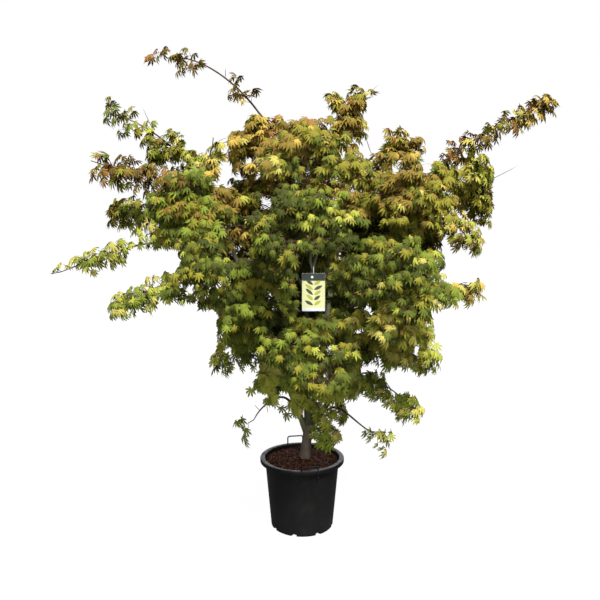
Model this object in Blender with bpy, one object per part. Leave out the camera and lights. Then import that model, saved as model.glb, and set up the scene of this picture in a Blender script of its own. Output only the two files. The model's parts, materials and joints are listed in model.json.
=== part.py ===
"""A Japanese maple in a round nursery pot: one solid for each sub-part, in metres, +Z up.

The origin is the centre of the pot's flat underside, +X is the plant's right seen from the
front, and -Y faces the viewer. The limbs and the masses of foliage grow from two tables of
named sizes: each row starts on an earlier limb and says how far it reaches.
"""

import math
from collections import namedtuple

import bmesh
import bpy
import numpy as np
from mathutils import Vector
from mathutils.bvhtree import BVHTree

# ---------------------------------------------------------------- driving sizes
GAP = 0.0003  # between two pieces that meet

POT_HEIGHT = 0.397
POT_BASE_RADIUS = 0.178
POT_NECK_RADIUS = 0.214
POT_WALL = 0.003
POT_ROUNDING = 0.004
RIM_RADIUS = 0.241
RIM_LIP = 0.022  # how far the rim's lip hangs down
ROUND_STEPS = 36  # sides of the pot and of the soil in it

DRAIN_COUNT = 8
DRAIN_WIDTH = 0.024
DRAIN_HEIGHT = 0.013
DRAIN_DEPTH = 0.036  # of the cut, through the wall and a little of the floor
DRAIN_PHASE = math.radians(-60)  # the first notch, from the front

MULCH_EDGE = 0.374
MULCH_TOP = 0.390
MULCH_BANDS = ((1.0, 0.0), (0.80, 0.45), (0.55, 0.75), (0.32, 0.95))  # share of the radius, of the rise
MULCH_UNEVEN = (-0.004, 0.001)

HANDLE_WIDTH = 0.100
HANDLE_BAR = 0.0038  # radius of the bar
HANDLE_LEG = 0.062  # from the bar's middle line to the foot of the stop
HANDLE_CORNER = 0.012
HANDLE_STOP = 0.005  # height of the stop at the foot of each leg
HANDLE_STOP_RADIUS = 0.0065
HANDLE_STEP = 0.0008  # height of the slope from the stop to the bar
HANDLE_HOLE = 0.0045  # radius of the hole in the rim for each leg
HANDLE_RING = 0.2265  # how far the legs stand from the pot's axis
HANDLE_BACK_TURN = math.radians(100.5)
HANDLE_RAISED = 0.442  # height of the back grip, pulled up
HANDLE_LOWERED = 0.416  # height of the front grip

TRUNK_FOOT = Vector((0.018, 0.0, MULCH_TOP + GAP))
TRUNK_TOP = Vector((0.062, 0.0, 0.700))
TRUNK_RADIUS = 0.028
TRUNK_FLARE = 1.28  # the foot's radius as a share of the trunk's

TAG_WIDTH = 0.108
TAG_HEIGHT = 0.178
TAG_THICKNESS = 0.0016
TAG_SHARE = 0.56  # where it hangs along its bough
TAG_LOOP_PLAY = 0.0006  # how loosely the loop sits on its bough
TAG_LOOP_WALL = 0.0016
TAG_LOOP_WIDTH = 0.0064
TAG_LOOP_STEPS = 12
TAG_DROP = 0.030  # from the bough's middle line to the card's top edge
TAG_FORWARD = 0.006  # from the loop's front to the card

LIMB_TAPER = 0.62  # a limb's end radius as a share of its start
LIMB_SIDES = 5
LIMB_STEPS = 5
STEM_RADIUS = 0.0095  # a foliage mass's main stem, where it starts
STEM_END = 0.0070
STEM_STEPS = 5
TWIG_RADIUS = 0.0052
TWIG_END = 0.0046
LEAF_SUNK = 0.0024  # how far a leaf's root passes the middle line of its twig

LEAF_LOBE = (math.radians(60), 0.86)  # turn and length of each side lobe; the middle one is 1
LEAF_NOTCH = (math.radians(27), 0.42)
LEAF_STALK = 0.50
LEAF_THICKNESS = 0.030  # of the blade's half length
LEAF_FALL = 0.16  # how far the lobes curl down
LEAF_DROOP = 0.38  # how far each leaf hangs below the way its stalk points
LEAF_TRIES = 7
CLEARANCE = 0.006  # between a twig or leaf and any other piece
WIDE = 0.22  # a mass that spreads this far has the most side twigs
NARROW = 0.175  # and one under this has none
TWIGS_WIDE = (6, 4)  # side twigs, leaves on each
TWIGS_MIDDLE = (4, 3)
SOLVER = "MANIFOLD"
SIMPLIFY = (0.70, 0.74, 0.80, 0.88, 1.0)  # shares of the faces that a mass keeps
SEED = 41

# Each limb starts on its parent, at a share of the parent's length, and ends at its tip.
Limb = namedtuple("Limb", "name parent at tip radius")
LIMBS = (
    Limb("stem_middle", "trunk", 1.00, (0.20, 0.02, 1.62), 0.0180),
    Limb("stem_left", "trunk", 0.44, (-0.35, -0.04, 1.50), 0.0165),
    Limb("stem_right", "trunk", 0.52, (0.53, 0.03, 1.44), 0.0165),
    Limb("stem_front", "trunk", 0.60, (0.02, -0.42, 1.30), 0.0150),
    Limb("stem_back", "trunk", 0.36, (0.03, 0.46, 1.40), 0.0150),
    Limb("bough_left_top", "stem_left", 1.00, (-0.57, 0.16, 1.94), 0.0100),
    Limb("bough_left_out", "stem_left", 0.70, (-0.67, -0.08, 1.62), 0.0110),
    Limb("bough_left_low", "stem_left", 0.42, (-0.47, -0.18, 1.33), 0.0105),
    Limb("bough_top_left", "stem_middle", 0.72, (-0.10, 0.12, 2.04), 0.0110),
    Limb("bough_top_right", "stem_middle", 1.00, (0.24, 0.02, 2.04), 0.0108),
    Limb("bough_right_top", "stem_right", 1.00, (0.73, 0.16, 1.93), 0.0100),
    Limb("bough_right_low", "stem_right", 0.55, (0.60, -0.20, 1.26), 0.0105),
    Limb("bough_front_top", "stem_front", 1.00, (0.09, -0.62, 1.66), 0.0092),
    Limb("bough_back_top", "stem_back", 1.00, (0.02, 0.58, 1.82), 0.0092),
)

# Each mass starts on a limb in the same way. Its space follows its stem, spread to each side.
Mass = namedtuple("Mass", "name limb at tip spread leaves blade arch bare", defaults=(0.16, 0.08, 0.12))
MASSES = (
    Mass("leaves_arching_shoot", "bough_top_left", 1.00, (-0.85, 0.10, 2.66), 0.16, 10, 0.14, 0.17, 0.56),
    Mass("leaves_top_left", "bough_top_left", 0.82, (-0.40, 0.12, 2.34), 0.28, 19, 0.19),
    Mass("leaves_top_middle", "bough_top_left", 0.60, (0.02, -0.22, 2.28), 0.27, 14, 0.19),
    Mass("leaves_peak", "bough_top_right", 1.00, (0.32, 0.04, 2.51), 0.20, 16, 0.16),
    Mass("leaves_top_right", "bough_top_right", 0.66, (0.71, 0.24, 2.27), 0.20, 14, 0.16),
    Mass("leaves_right_long", "bough_right_top", 1.00, (1.46, 0.12, 2.45), 0.16, 18, 0.15, 0.04, 0.06),
    Mass("leaves_right_edge", "bough_right_top", 0.78, (1.23, 0.36, 1.97), 0.27, 18, 0.18),
    Mass("leaves_right_droop", "bough_right_top", 0.44, (0.96, -0.30, 1.50), 0.17, 10, 0.16, 0.16, 0.25),
    Mass("leaves_right_middle", "bough_right_top", 0.60, (0.52, -0.40, 1.90), 0.33, 20, 0.21),
    Mass("leaves_right_low", "bough_right_low", 1.00, (0.97, -0.30, 1.45), 0.17, 11, 0.16),
    Mass("leaves_gold_right", "bough_right_low", 0.70, (0.48, -0.46, 1.10), 0.27, 15, 0.19),
    Mass("leaves_low_right", "stem_right", 0.40, (0.86, 0.22, 0.88), 0.18, 12, 0.17),
    Mass("leaves_spray_right", "stem_right", 0.18, (0.69, -0.20, 0.59), 0.15, 10, 0.14, 0.14, 0.25),
    Mass("leaves_trunk_right", "stem_right", 0.07, (0.50, -0.20, 0.44), 0.15, 10, 0.14, 0.06, 0.10),
    Mass("leaves_trunk_skirt", "stem_front", 0.06, (0.14, -0.24, 0.44), 0.15, 8, 0.14, 0.08),
    Mass("leaves_left_upper", "bough_left_top", 1.00, (-1.19, 0.26, 2.46), 0.20, 16, 0.17),
    Mass("leaves_left_gold", "bough_left_top", 0.84, (-0.45, -0.22, 2.18), 0.22, 11, 0.17),
    Mass("leaves_left_bronze", "bough_left_top", 0.58, (-1.17, -0.20, 2.00), 0.18, 15, 0.16, 0.02),
    Mass("leaves_left_green", "bough_left_out", 0.84, (-1.22, 0.32, 1.81), 0.18, 12, 0.17),
    Mass("leaves_left_long", "bough_left_out", 1.00, (-1.45, -0.08, 1.50), 0.15, 15, 0.14, 0.03, 0.04),
    Mass("leaves_left_middle", "bough_left_out", 0.62, (-0.60, -0.42, 1.88), 0.32, 20, 0.21),
    Mass("leaves_left_branch", "bough_left_low", 1.00, (-1.06, -0.26, 1.26), 0.16, 12, 0.15, 0.06),
    Mass("leaves_left_low", "bough_left_low", 0.66, (-0.38, -0.42, 1.12), 0.28, 16, 0.19),
    Mass("leaves_left_foot", "stem_left", 0.30, (-0.60, 0.20, 0.91), 0.17, 11, 0.16),
    Mass("leaves_left_twig", "stem_left", 0.13, (-0.37, -0.10, 0.56), 0.14, 8, 0.13, 0.12, 0.20),
    Mass("leaves_hanging", "stem_front", 0.17, (-0.11, -0.24, 0.57), 0.14, 7, 0.14, 0.08),
    Mass("leaves_front_foot_left", "stem_front", 0.40, (-0.26, -0.44, 0.90), 0.20, 12, 0.18),
    Mass("leaves_front_foot_right", "stem_front", 0.32, (0.34, -0.38, 0.83), 0.20, 12, 0.18),
    Mass("leaves_front_low", "stem_front", 0.80, (0.02, -0.86, 1.12), 0.32, 19, 0.22),
    Mass("leaves_front_middle", "bough_front_top", 0.84, (-0.05, -1.06, 1.68), 0.36, 23, 0.23),
    Mass("leaves_front_top", "bough_front_top", 1.00, (0.00, -0.46, 2.10), 0.34, 23, 0.22),
    Mass("leaves_front_left", "stem_front", 0.66, (-0.50, -0.84, 1.58), 0.36, 24, 0.22, 0.08, 0.30),
    Mass("leaves_front_right", "stem_front", 0.52, (0.54, -0.84, 1.52), 0.36, 24, 0.22, 0.08, 0.30),
    Mass("leaves_inner_left", "stem_back", 0.90, (-0.38, 0.20, 1.80), 0.34, 18, 0.21),
    Mass("leaves_inner_right", "stem_right", 0.80, (0.34, 0.36, 1.66), 0.33, 18, 0.21),
    Mass("leaves_back_top", "bough_back_top", 1.00, (0.05, 0.50, 2.20), 0.38, 22, 0.23),
    Mass("leaves_back_middle", "bough_back_top", 0.45, (0.00, 1.16, 1.66), 0.38, 22, 0.23),
    Mass("leaves_back_left", "stem_back", 0.78, (-0.80, 0.78, 1.84), 0.40, 23, 0.23),
    Mass("leaves_back_right", "stem_back", 0.62, (0.84, 0.76, 1.80), 0.40, 23, 0.23),
    Mass("leaves_back_low", "stem_back", 0.44, (0.02, 0.66, 0.98), 0.34, 20, 0.22),
)

# ---------------------------------------------------------------- materials
Finish = namedtuple("Finish", "colour roughness")
FINISHES = {
    "black_plastic": Finish((0.018, 0.019, 0.019), 0.42),
    "bark_mulch": Finish((0.085, 0.034, 0.022), 0.92),
    "maple_bark": Finish((0.205, 0.180, 0.135), 0.80),
    "maple_foliage": Finish((0.190, 0.215, 0.055), 0.62),
    "printed_label": Finish((0.70, 0.71, 0.42), 0.45),
}


def material(name):
    found = bpy.data.materials.get(name)
    if found:
        return found
    made = bpy.data.materials.new(name)
    made.use_nodes = True
    surface = made.node_tree.nodes["Principled BSDF"]
    surface.inputs["Base Color"].default_value = (*FINISHES[name].colour, 1.0)
    surface.inputs["Roughness"].default_value = FINISHES[name].roughness
    surface.inputs["Metallic"].default_value = 0.0
    return made


# ---------------------------------------------------------------- mesh helpers
def clear_scene():
    for obj in list(bpy.data.objects):
        bpy.data.objects.remove(obj)


def add_mesh(name, points, faces, finish):
    mesh = bpy.data.meshes.new(name)
    mesh.from_pydata([tuple(p) for p in points], [], faces)
    mesh.materials.append(material(finish))
    obj = bpy.data.objects.new(name, mesh)
    bpy.context.scene.collection.objects.link(obj)
    return obj


def apply_modifiers(obj):
    graph = bpy.context.evaluated_depsgraph_get()
    made = bpy.data.meshes.new_from_object(obj.evaluated_get(graph))
    old = obj.data
    obj.modifiers.clear()
    obj.data = made
    bpy.data.meshes.remove(old)


def boolean(obj, operation, others, solver="EXACT"):
    """Joins or cuts with a collection of helpers, applies it and removes them."""
    helpers = bpy.data.collections.new(f"{obj.name}_{operation.lower()}")
    bpy.context.scene.collection.children.link(helpers)
    for other in others:
        for home in list(other.users_collection):
            home.objects.unlink(other)
        helpers.objects.link(other)
    modifier = obj.modifiers.new(operation.lower(), "BOOLEAN")
    modifier.operation = operation
    modifier.operand_type = "COLLECTION"
    modifier.collection = helpers
    modifier.solver = solver
    apply_modifiers(obj)
    for other in list(helpers.objects):
        remove_object(other)
    bpy.data.collections.remove(helpers)


def signed_volume(faces):
    total = 0.0
    for face in faces:
        corners = [loop.vert.co for loop in face.loops]
        for b, c in zip(corners[1:], corners[2:]):
            total += corners[0].dot(b.cross(c))
    return total / 6.0


def keep_outer_body(obj):
    """Keeps the largest closed body, so sealed hollows are filled and loose scraps go."""
    bm = bmesh.new()
    bm.from_mesh(obj.data)
    bmesh.ops.remove_doubles(bm, verts=bm.verts, dist=1e-6)
    bmesh.ops.triangulate(bm, faces=bm.faces)
    bodies, seen = [], set()
    for start in bm.faces:
        if start in seen:
            continue
        seen.add(start)
        body, edge_of = [], [start]
        while edge_of:
            face = edge_of.pop()
            body.append(face)
            for edge in face.edges:
                for near in edge.link_faces:
                    if near not in seen:
                        seen.add(near)
                        edge_of.append(near)
        bodies.append(body)
    largest = max(bodies, key=signed_volume)
    extra = [face for body in bodies if body is not largest for face in body]
    bmesh.ops.delete(bm, geom=extra, context="FACES")
    bm.to_mesh(obj.data)
    bm.free()


def open_spots(mesh):
    """Where a mesh isn't the surface of one closed body."""
    bm = bmesh.new()
    bm.from_mesh(mesh)
    spots = [edge.verts[0].co.copy() for edge in bm.edges if not edge.is_manifold]
    spots += [vert.co.copy() for vert in bm.verts if not vert.is_manifold]
    bm.free()
    return spots


def remove_object(obj):
    mesh = obj.data
    bpy.data.objects.remove(obj)
    bpy.data.meshes.remove(mesh)


def middle_of(points):
    return sum(points, Vector()) / len(points)


def simplify(obj):
    """Merges the slivers that the union leaves, as far as the body stays closed."""
    whole = obj.data.copy()
    for ratio in SIMPLIFY:
        modifier = obj.modifiers.new("simplify", "DECIMATE")
        modifier.ratio = ratio
        apply_modifiers(obj)
        if not open_spots(obj.data):
            break
        obj.data = whole.copy()
    bpy.data.meshes.remove(whole)


def ring_frame(direction):
    """Two unit vectors square to a direction, the first as level as it can be."""
    side = direction.cross(Vector((0, 0, 1)))
    if side.length < 1e-3:
        side = Vector((1, 0, 0))
    side.normalize()
    return side, side.cross(direction).normalized()


def tube(path, radii, sides, ends=(None, None), lobes=(0, 0.0)):
    """Points and faces of a closed tapered tube; ends are the directions of its two cuts."""
    count, (lobe_count, lobe_depth) = len(path), lobes
    points, side = [], None
    for i, (centre, radius) in enumerate(zip(path, radii)):
        along = path[min(i + 1, count - 1)] - path[max(i - 1, 0)]
        if i == 0 and ends[0]:
            along = ends[0]
        if i == count - 1 and ends[1]:
            along = ends[1]
        along = along.normalized()
        if side is None:
            side = ring_frame(along)[0]
        side = (side - along * side.dot(along)).normalized()
        other = along.cross(side)
        fade = max(0.0, 1.0 - 3.0 * i / count) ** 2
        for k in range(sides):
            turn = 2 * math.pi * k / sides
            bulge = 1.0 + lobe_depth * fade * math.cos(lobe_count * turn)
            points.append(centre + radius * bulge * (math.cos(turn) * side + math.sin(turn) * other))
    faces = [tuple(reversed(range(sides))), tuple(range((count - 1) * sides, count * sides))]
    for i in range(count - 1):
        for k in range(sides):
            a, b = i * sides + k, i * sides + (k + 1) % sides
            faces.append((a, b, b + sides, a + sides))
    return points, faces


def bowed_path(start, heading, tip, arch, steps):
    """A smooth path that leaves start along heading and bows above its chord by arch."""
    chord = tip - start
    reach = chord.length
    leave = heading * reach
    arrive = (chord - Vector((0, 0, 4.0 * arch))).normalized() * reach
    leave = leave + Vector((0, 0, 2.0 * arch))
    path = []
    for i in range(steps + 1):
        t = i / steps
        path.append(
            (2 * t**3 - 3 * t**2 + 1) * start
            + (t**3 - 2 * t**2 + t) * leave * 0.8
            + (3 * t**2 - 2 * t**3) * tip
            + (t**3 - t**2) * arrive * 0.8
        )
    return path


# ---------------------------------------------------------------- pot, soil, handles, label
def turned(profile, steps):
    """A closed body turned about Z from a profile that runs from its floor up and inside."""
    points = []
    for radius, height in profile:
        for k in range(steps):
            turn = 2 * math.pi * k / steps
            points.append((radius * math.cos(turn), radius * math.sin(turn), height))
    last = (len(profile) - 1) * steps
    faces = [tuple(reversed(range(steps))), tuple(range(last, last + steps))]
    for i in range(len(profile) - 1):
        for k in range(steps):
            a, b = i * steps + k, i * steps + (k + 1) % steps
            faces.append((a, b, b + steps, a + steps))
    return points, faces


def wall_radius(height):
    """The outer radius of the pot's straight wall."""
    return POT_BASE_RADIUS + (POT_NECK_RADIUS - POT_BASE_RADIUS) * height / POT_HEIGHT


def make_pot():
    lip = POT_HEIGHT - RIM_LIP
    under = POT_HEIGHT - POT_WALL
    profile = (
        (POT_BASE_RADIUS - POT_ROUNDING, 0.0),
        (POT_BASE_RADIUS, POT_ROUNDING),
        (wall_radius(under), under),
        (RIM_RADIUS - POT_WALL, under),
        (RIM_RADIUS - POT_WALL, lip),
        (RIM_RADIUS, lip),
        (RIM_RADIUS, POT_HEIGHT - POT_ROUNDING),
        (RIM_RADIUS - POT_ROUNDING, POT_HEIGHT),
        (POT_NECK_RADIUS, POT_HEIGHT),
        (wall_radius(under) - POT_WALL, under),
        (wall_radius(POT_ROUNDING) - POT_WALL, POT_ROUNDING),
    )
    pot = add_mesh("pot", *turned(profile, ROUND_STEPS), "black_plastic")
    cutters = [drain_cutter(i) for i in range(DRAIN_COUNT)]
    for turn in (HANDLE_BACK_TURN, HANDLE_BACK_TURN + math.pi):
        cutters += [leg_cutter(turn, side) for side in (-1, 1)]
    boolean(pot, "DIFFERENCE", cutters)
    keep_outer_body(pot)
    return pot


def drain_cutter(index):
    turn = math.radians(-90) + DRAIN_PHASE + index * 2 * math.pi / DRAIN_COUNT
    bpy.ops.mesh.primitive_cube_add(size=1.0)
    cutter = bpy.context.object
    cutter.dimensions = (DRAIN_DEPTH, DRAIN_WIDTH, 2 * DRAIN_HEIGHT)
    cutter.location = (POT_BASE_RADIUS * math.cos(turn), POT_BASE_RADIUS * math.sin(turn), 0.0)
    cutter.rotation_euler = (0.0, 0.0, turn)
    return cutter


def handle_frame(turn):
    """The middle of a handle on the rim, and the direction along its bar."""
    middle = Vector((math.cos(turn), math.sin(turn), 0.0)) * HANDLE_RING
    return middle, Vector((-math.sin(turn), math.cos(turn), 0.0))


def leg_cutter(turn, side):
    middle, along = handle_frame(turn)
    foot = middle + along * (side * (HANDLE_WIDTH / 2 - HANDLE_BAR))
    path = [Vector((foot.x, foot.y, POT_HEIGHT + rise)) for rise in (-2 * POT_WALL, POT_WALL)]
    return add_mesh("leg_hole", *tube(path, (HANDLE_HOLE, HANDLE_HOLE), 10), "black_plastic")


def make_soil():
    """The root ball and its bark mulch, filling the pot to just under its rim."""
    floor = POT_ROUNDING + GAP
    clear = POT_WALL + 2 * GAP
    edge = wall_radius(MULCH_EDGE) - clear
    profile = [(wall_radius(floor) - clear, floor)]
    rise = MULCH_TOP - MULCH_EDGE
    profile += [(edge * share, MULCH_EDGE + rise * up) for share, up in MULCH_BANDS]
    profile.append((TRUNK_RADIUS * 2.1, MULCH_TOP))
    points, faces = turned(profile, ROUND_STEPS)
    rng = np.random.default_rng(SEED)
    for ring in range(2, len(MULCH_BANDS) + 1):
        for k in range(ROUND_STEPS):
            x, y, z = points[ring * ROUND_STEPS + k]
            points[ring * ROUND_STEPS + k] = (x, y, z + rng.uniform(*MULCH_UNEVEN))
    return add_mesh("bark_mulch", points, faces, "bark_mulch")


def make_handle(name, turn, height):
    """A U of round bar: its legs pass through the rim and end in stops under it."""
    middle, along = handle_frame(turn)
    half = HANDLE_WIDTH / 2 - HANDLE_BAR
    flat = []
    for foot in (-HANDLE_LEG, -HANDLE_LEG + HANDLE_STOP, -HANDLE_LEG + HANDLE_STOP + HANDLE_STEP):
        flat.append((-half, foot))
    for i in range(4):
        turn_in = math.pi - i * math.pi / 6
        flat.append(
            (
                -half + HANDLE_CORNER * (1 + math.cos(turn_in)),
                -HANDLE_CORNER * (1 - math.sin(turn_in)),
            )
        )
    flat += [(-x, z) for x, z in reversed(flat)]
    path = [along * x + Vector((0, 0, z)) for x, z in flat]
    radii = [HANDLE_BAR] * len(path)
    for i in (0, 1, -1, -2):
        radii[i] = HANDLE_STOP_RADIUS
    handle = add_mesh(name, *tube(path, radii, 6), "black_plastic")
    handle.location = (middle.x, middle.y, height)
    return handle


def make_label(limb, share):
    """A printed plastic label: a thin card that hangs by a narrow loop round a bough."""
    centre, along, radius = limb.place(share)
    across = Vector((1, 0, 0))
    hang = Vector((0.0, along.y, along.z)).normalized()
    level = hang.cross(across).normalized()
    inner = (radius + GAP) / math.cos(math.pi / TAG_LOOP_STEPS) + TAG_LOOP_PLAY
    outer = inner + TAG_LOOP_WALL
    points, faces = [], []
    for loop_radius in (inner, outer):
        for side in (-TAG_LOOP_WIDTH / 2, TAG_LOOP_WIDTH / 2):
            for k in range(TAG_LOOP_STEPS):
                turn = 2 * math.pi * k / TAG_LOOP_STEPS
                reach = loop_radius * (math.cos(turn) * across + math.sin(turn) * level)
                points.append(centre + hang * side + reach)
    for k in range(TAG_LOOP_STEPS):
        n = (k + 1) % TAG_LOOP_STEPS
        a, b, c, d = (k + ring * TAG_LOOP_STEPS for ring in range(4))
        e, f, g, h = (n + ring * TAG_LOOP_STEPS for ring in range(4))
        faces += [(a, b, f, e), (c, g, h, d), (a, e, g, c), (b, d, h, f)]
    label = add_mesh("label_tag", points, faces, "printed_label")
    top = Vector((centre.x, centre.y - 0.5 * (inner + outer) - TAG_FORWARD, centre.z - TAG_DROP))
    card = box(
        "card",
        (top.x - TAG_WIDTH / 2, top.y, top.z - TAG_HEIGHT),
        (top.x + TAG_WIDTH / 2, top.y + TAG_THICKNESS, top.z),
        "printed_label",
    )
    strap = box(
        "strap",
        (top.x - TAG_LOOP_WIDTH / 2, top.y + GAP, top.z - 0.010),
        (top.x + TAG_LOOP_WIDTH / 2, centre.y - inner - 0.3 * TAG_LOOP_WALL, centre.z),
        "printed_label",
    )
    for obj in (label, card, strap):
        outward(obj)
    boolean(label, "UNION", [card, strap])
    keep_outer_body(label)
    return label


def outward(obj):
    bm = bmesh.new()
    bm.from_mesh(obj.data)
    bmesh.ops.recalc_face_normals(bm, faces=bm.faces)
    bm.to_mesh(obj.data)
    bm.free()


def box(name, low, high, finish):
    corners = [(x, y, z) for x in (low[0], high[0]) for y in (low[1], high[1]) for z in (low[2], high[2])]
    faces = [(0, 1, 3, 2), (4, 6, 7, 5), (0, 4, 5, 1), (2, 3, 7, 6), (0, 2, 6, 4), (1, 5, 7, 3)]
    return add_mesh(name, corners, faces, finish)


# ---------------------------------------------------------------- limbs
class Grown:
    """A limb's middle line and radii, for whatever grows from it."""

    def __init__(self, path, radii, heading):
        self.path, self.radii, self.heading = path, radii, heading

    def place(self, share):
        spot = share * (len(self.path) - 1)
        i = min(int(spot), len(self.path) - 2)
        part = spot - i
        point = self.path[i].lerp(self.path[i + 1], part)
        radius = self.radii[i] * (1 - part) + self.radii[i + 1] * part
        return point, (self.path[i + 1] - self.path[i]).normalized(), radius


def socket(limb, share, tip, radius):
    """Where a child starts on a limb: the end of a short collar, or the limb's own tip."""
    centre, along, around = limb.place(share)
    if share >= 1.0:
        return limb.path[-1], limb.heading, None
    aim = (Vector(tip) - centre).normalized()
    aim = (aim + 0.35 * along + Vector((0, 0, 0.10))).normalized()
    across = (aim - along * aim.dot(along)).normalized()
    angle = max(math.acos(max(-1.0, min(1.0, aim.dot(along)))), math.radians(30))
    aim = along * math.cos(angle) + across * math.sin(angle)
    length = (around + radius * max(0.0, math.cos(angle)) + 0.004) / math.sin(angle)
    return centre + aim * length, aim, centre


def children_of(name):
    limbs = [(row.name, row.at, row.tip, row.radius) for row in LIMBS if row.parent == name]
    masses = [(row.name, row.at, row.tip, STEM_RADIUS) for row in MASSES if row.limb == name]
    return limbs + masses


def add_collars(obj, name, grown):
    """Fuses a collar to the limb for each child that starts along its side."""
    collars = []
    for _child, share, tip, radius in children_of(name):
        end, aim, base = socket(grown, share, tip, radius)
        if base is None:
            continue
        shape = tube([base, end], (radius * 1.25, radius), LIMB_SIDES, (aim, aim))
        collars.append(add_mesh("collar", *shape, "maple_bark"))
    if collars:
        boolean(obj, "UNION", collars)
        keep_outer_body(obj)


def make_trunk(grown):
    steps = 7
    path, radii = [], []
    for i in range(steps + 1):
        t = i / steps
        bow = Vector((-0.006, 0.0, 0.0)) * math.sin(math.pi * t)
        path.append(TRUNK_FOOT.lerp(TRUNK_TOP, t) + bow)
        flare = 1 + (TRUNK_FLARE - 1) * math.exp(-t * 9)
        radii.append(TRUNK_RADIUS * (1 - 0.14 * t) * flare)
    heading = (path[-1] - path[-2]).normalized()
    shape = tube(path, radii, 10, (Vector((0, 0, 1)), heading), (5, 0.10))
    trunk = add_mesh("trunk", *shape, "maple_bark")
    grown["trunk"] = Grown(path, radii, heading)
    add_collars(trunk, "trunk", grown["trunk"])
    return trunk


def make_limb(row, grown):
    start, heading, _base = socket(grown[row.parent], row.at, row.tip, row.radius)
    start = start + heading * GAP
    path = bowed_path(start, heading, Vector(row.tip), 0.02, LIMB_STEPS)
    radii = [row.radius * (1 - (1 - LIMB_TAPER) * i / LIMB_STEPS) for i in range(LIMB_STEPS + 1)]
    arrive = (path[-1] - path[-2]).normalized()
    limb = add_mesh(row.name, *tube(path, radii, LIMB_SIDES, (heading, arrive)), "maple_bark")
    grown[row.name] = Grown(path, radii, arrive)
    add_collars(limb, row.name, grown[row.name])
    return limb


# ---------------------------------------------------------------- foliage
class Solids:
    """What has been placed so far, to keep each new twig or leaf clear of other nodes."""

    def __init__(self):
        self.kept = []

    def add(self, owner, points, faces):
        tree = BVHTree.FromPolygons([tuple(p) for p in points], faces)
        array = np.array(points, float)
        self.kept.append((owner, array.min(axis=0), array.max(axis=0), tree))

    def hits(self, points, faces, skip=None, only=None):
        array = np.array(points, float)
        low, high = array.min(axis=0), array.max(axis=0)
        tree = None
        for owner, near_low, near_high, near in self.kept:
            if owner == skip or (only and owner != only):
                continue
            if (low > near_high).any() or (high < near_low).any():
                continue
            tree = tree or BVHTree.FromPolygons([tuple(p) for p in points], faces)
            if tree.overlap(near):
                return owner
        return None


class Space:
    """The room that each mass may fill: near its own stem, nearer than to any other."""

    def __init__(self, paths, spreads):
        points = np.array(paths, float)
        self.foot, self.span = points[:, :-1], np.diff(points, axis=1)
        self.length = (self.span**2).sum(-1)
        self.spreads = np.array(spreads)[:, None]

    def distance(self, points, masses):
        """Distance from each point to the stems of some masses, as a share of their spread."""
        foot, span = self.foot[masses], self.span[masses]
        away = points[:, None, None] - foot
        t = np.clip((away * span).sum(-1) / self.length[masses], 0, 1)
        gap = np.linalg.norm(away - t[..., None] * span, axis=-1)
        along = (np.arange(foot.shape[1]) + t) / foot.shape[1]
        return (gap / (self.spreads[masses] * spread_share(along))).min(axis=2)

    def holds(self, index, points):
        """Whether a shape lies in this mass's spread and its middle is in no other's space."""
        if self.distance(points, [index]).max() > 1.0:
            return False
        middle = points.mean(axis=0, keepdims=True)
        return int(self.distance(middle, slice(None)).argmin()) == index


def spread_share(along):
    """How the spread grows from a mass's root and closes a little at its tip."""
    return np.minimum(1.0, 0.45 + 1.6 * along) * (1.0 - 0.18 * along**4)


def leaf_shape(root, axis, normal, blade):
    """A three-lobed leaf, thin at its edge and thickest at its middle."""
    unit = blade / (1.0 + LEAF_STALK)
    side = normal.cross(axis).normalized()
    half = [(reach * math.cos(turn), reach * math.sin(turn)) for turn, reach in (LEAF_LOBE, LEAF_NOTCH)]
    outline = [(-LEAF_STALK, 0.0)] + [(x, -y) for x, y in half] + [(1.0, 0.0)] + half[::-1]
    centre = root + axis * (LEAF_STALK * unit)
    points = []
    for x, y in outline:
        fall = LEAF_FALL * (x * x + y * y) if x > -LEAF_STALK else 0.0
        points.append(centre + unit * (x * axis + y * side - fall * normal))
    thick = LEAF_THICKNESS * unit
    points += [centre + normal * thick, centre - normal * thick]
    edge = len(outline)
    faces = [(i, (i + 1) % edge, edge) for i in range(edge)]
    faces += [((i + 1) % edge, i, edge + 1) for i in range(edge)]
    return points, faces


def grown_out(points, by):
    """The same shape a little larger, for testing what it would come close to."""
    middle = middle_of(points)
    return [p + (p - middle).normalized() * by for p in points]


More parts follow.
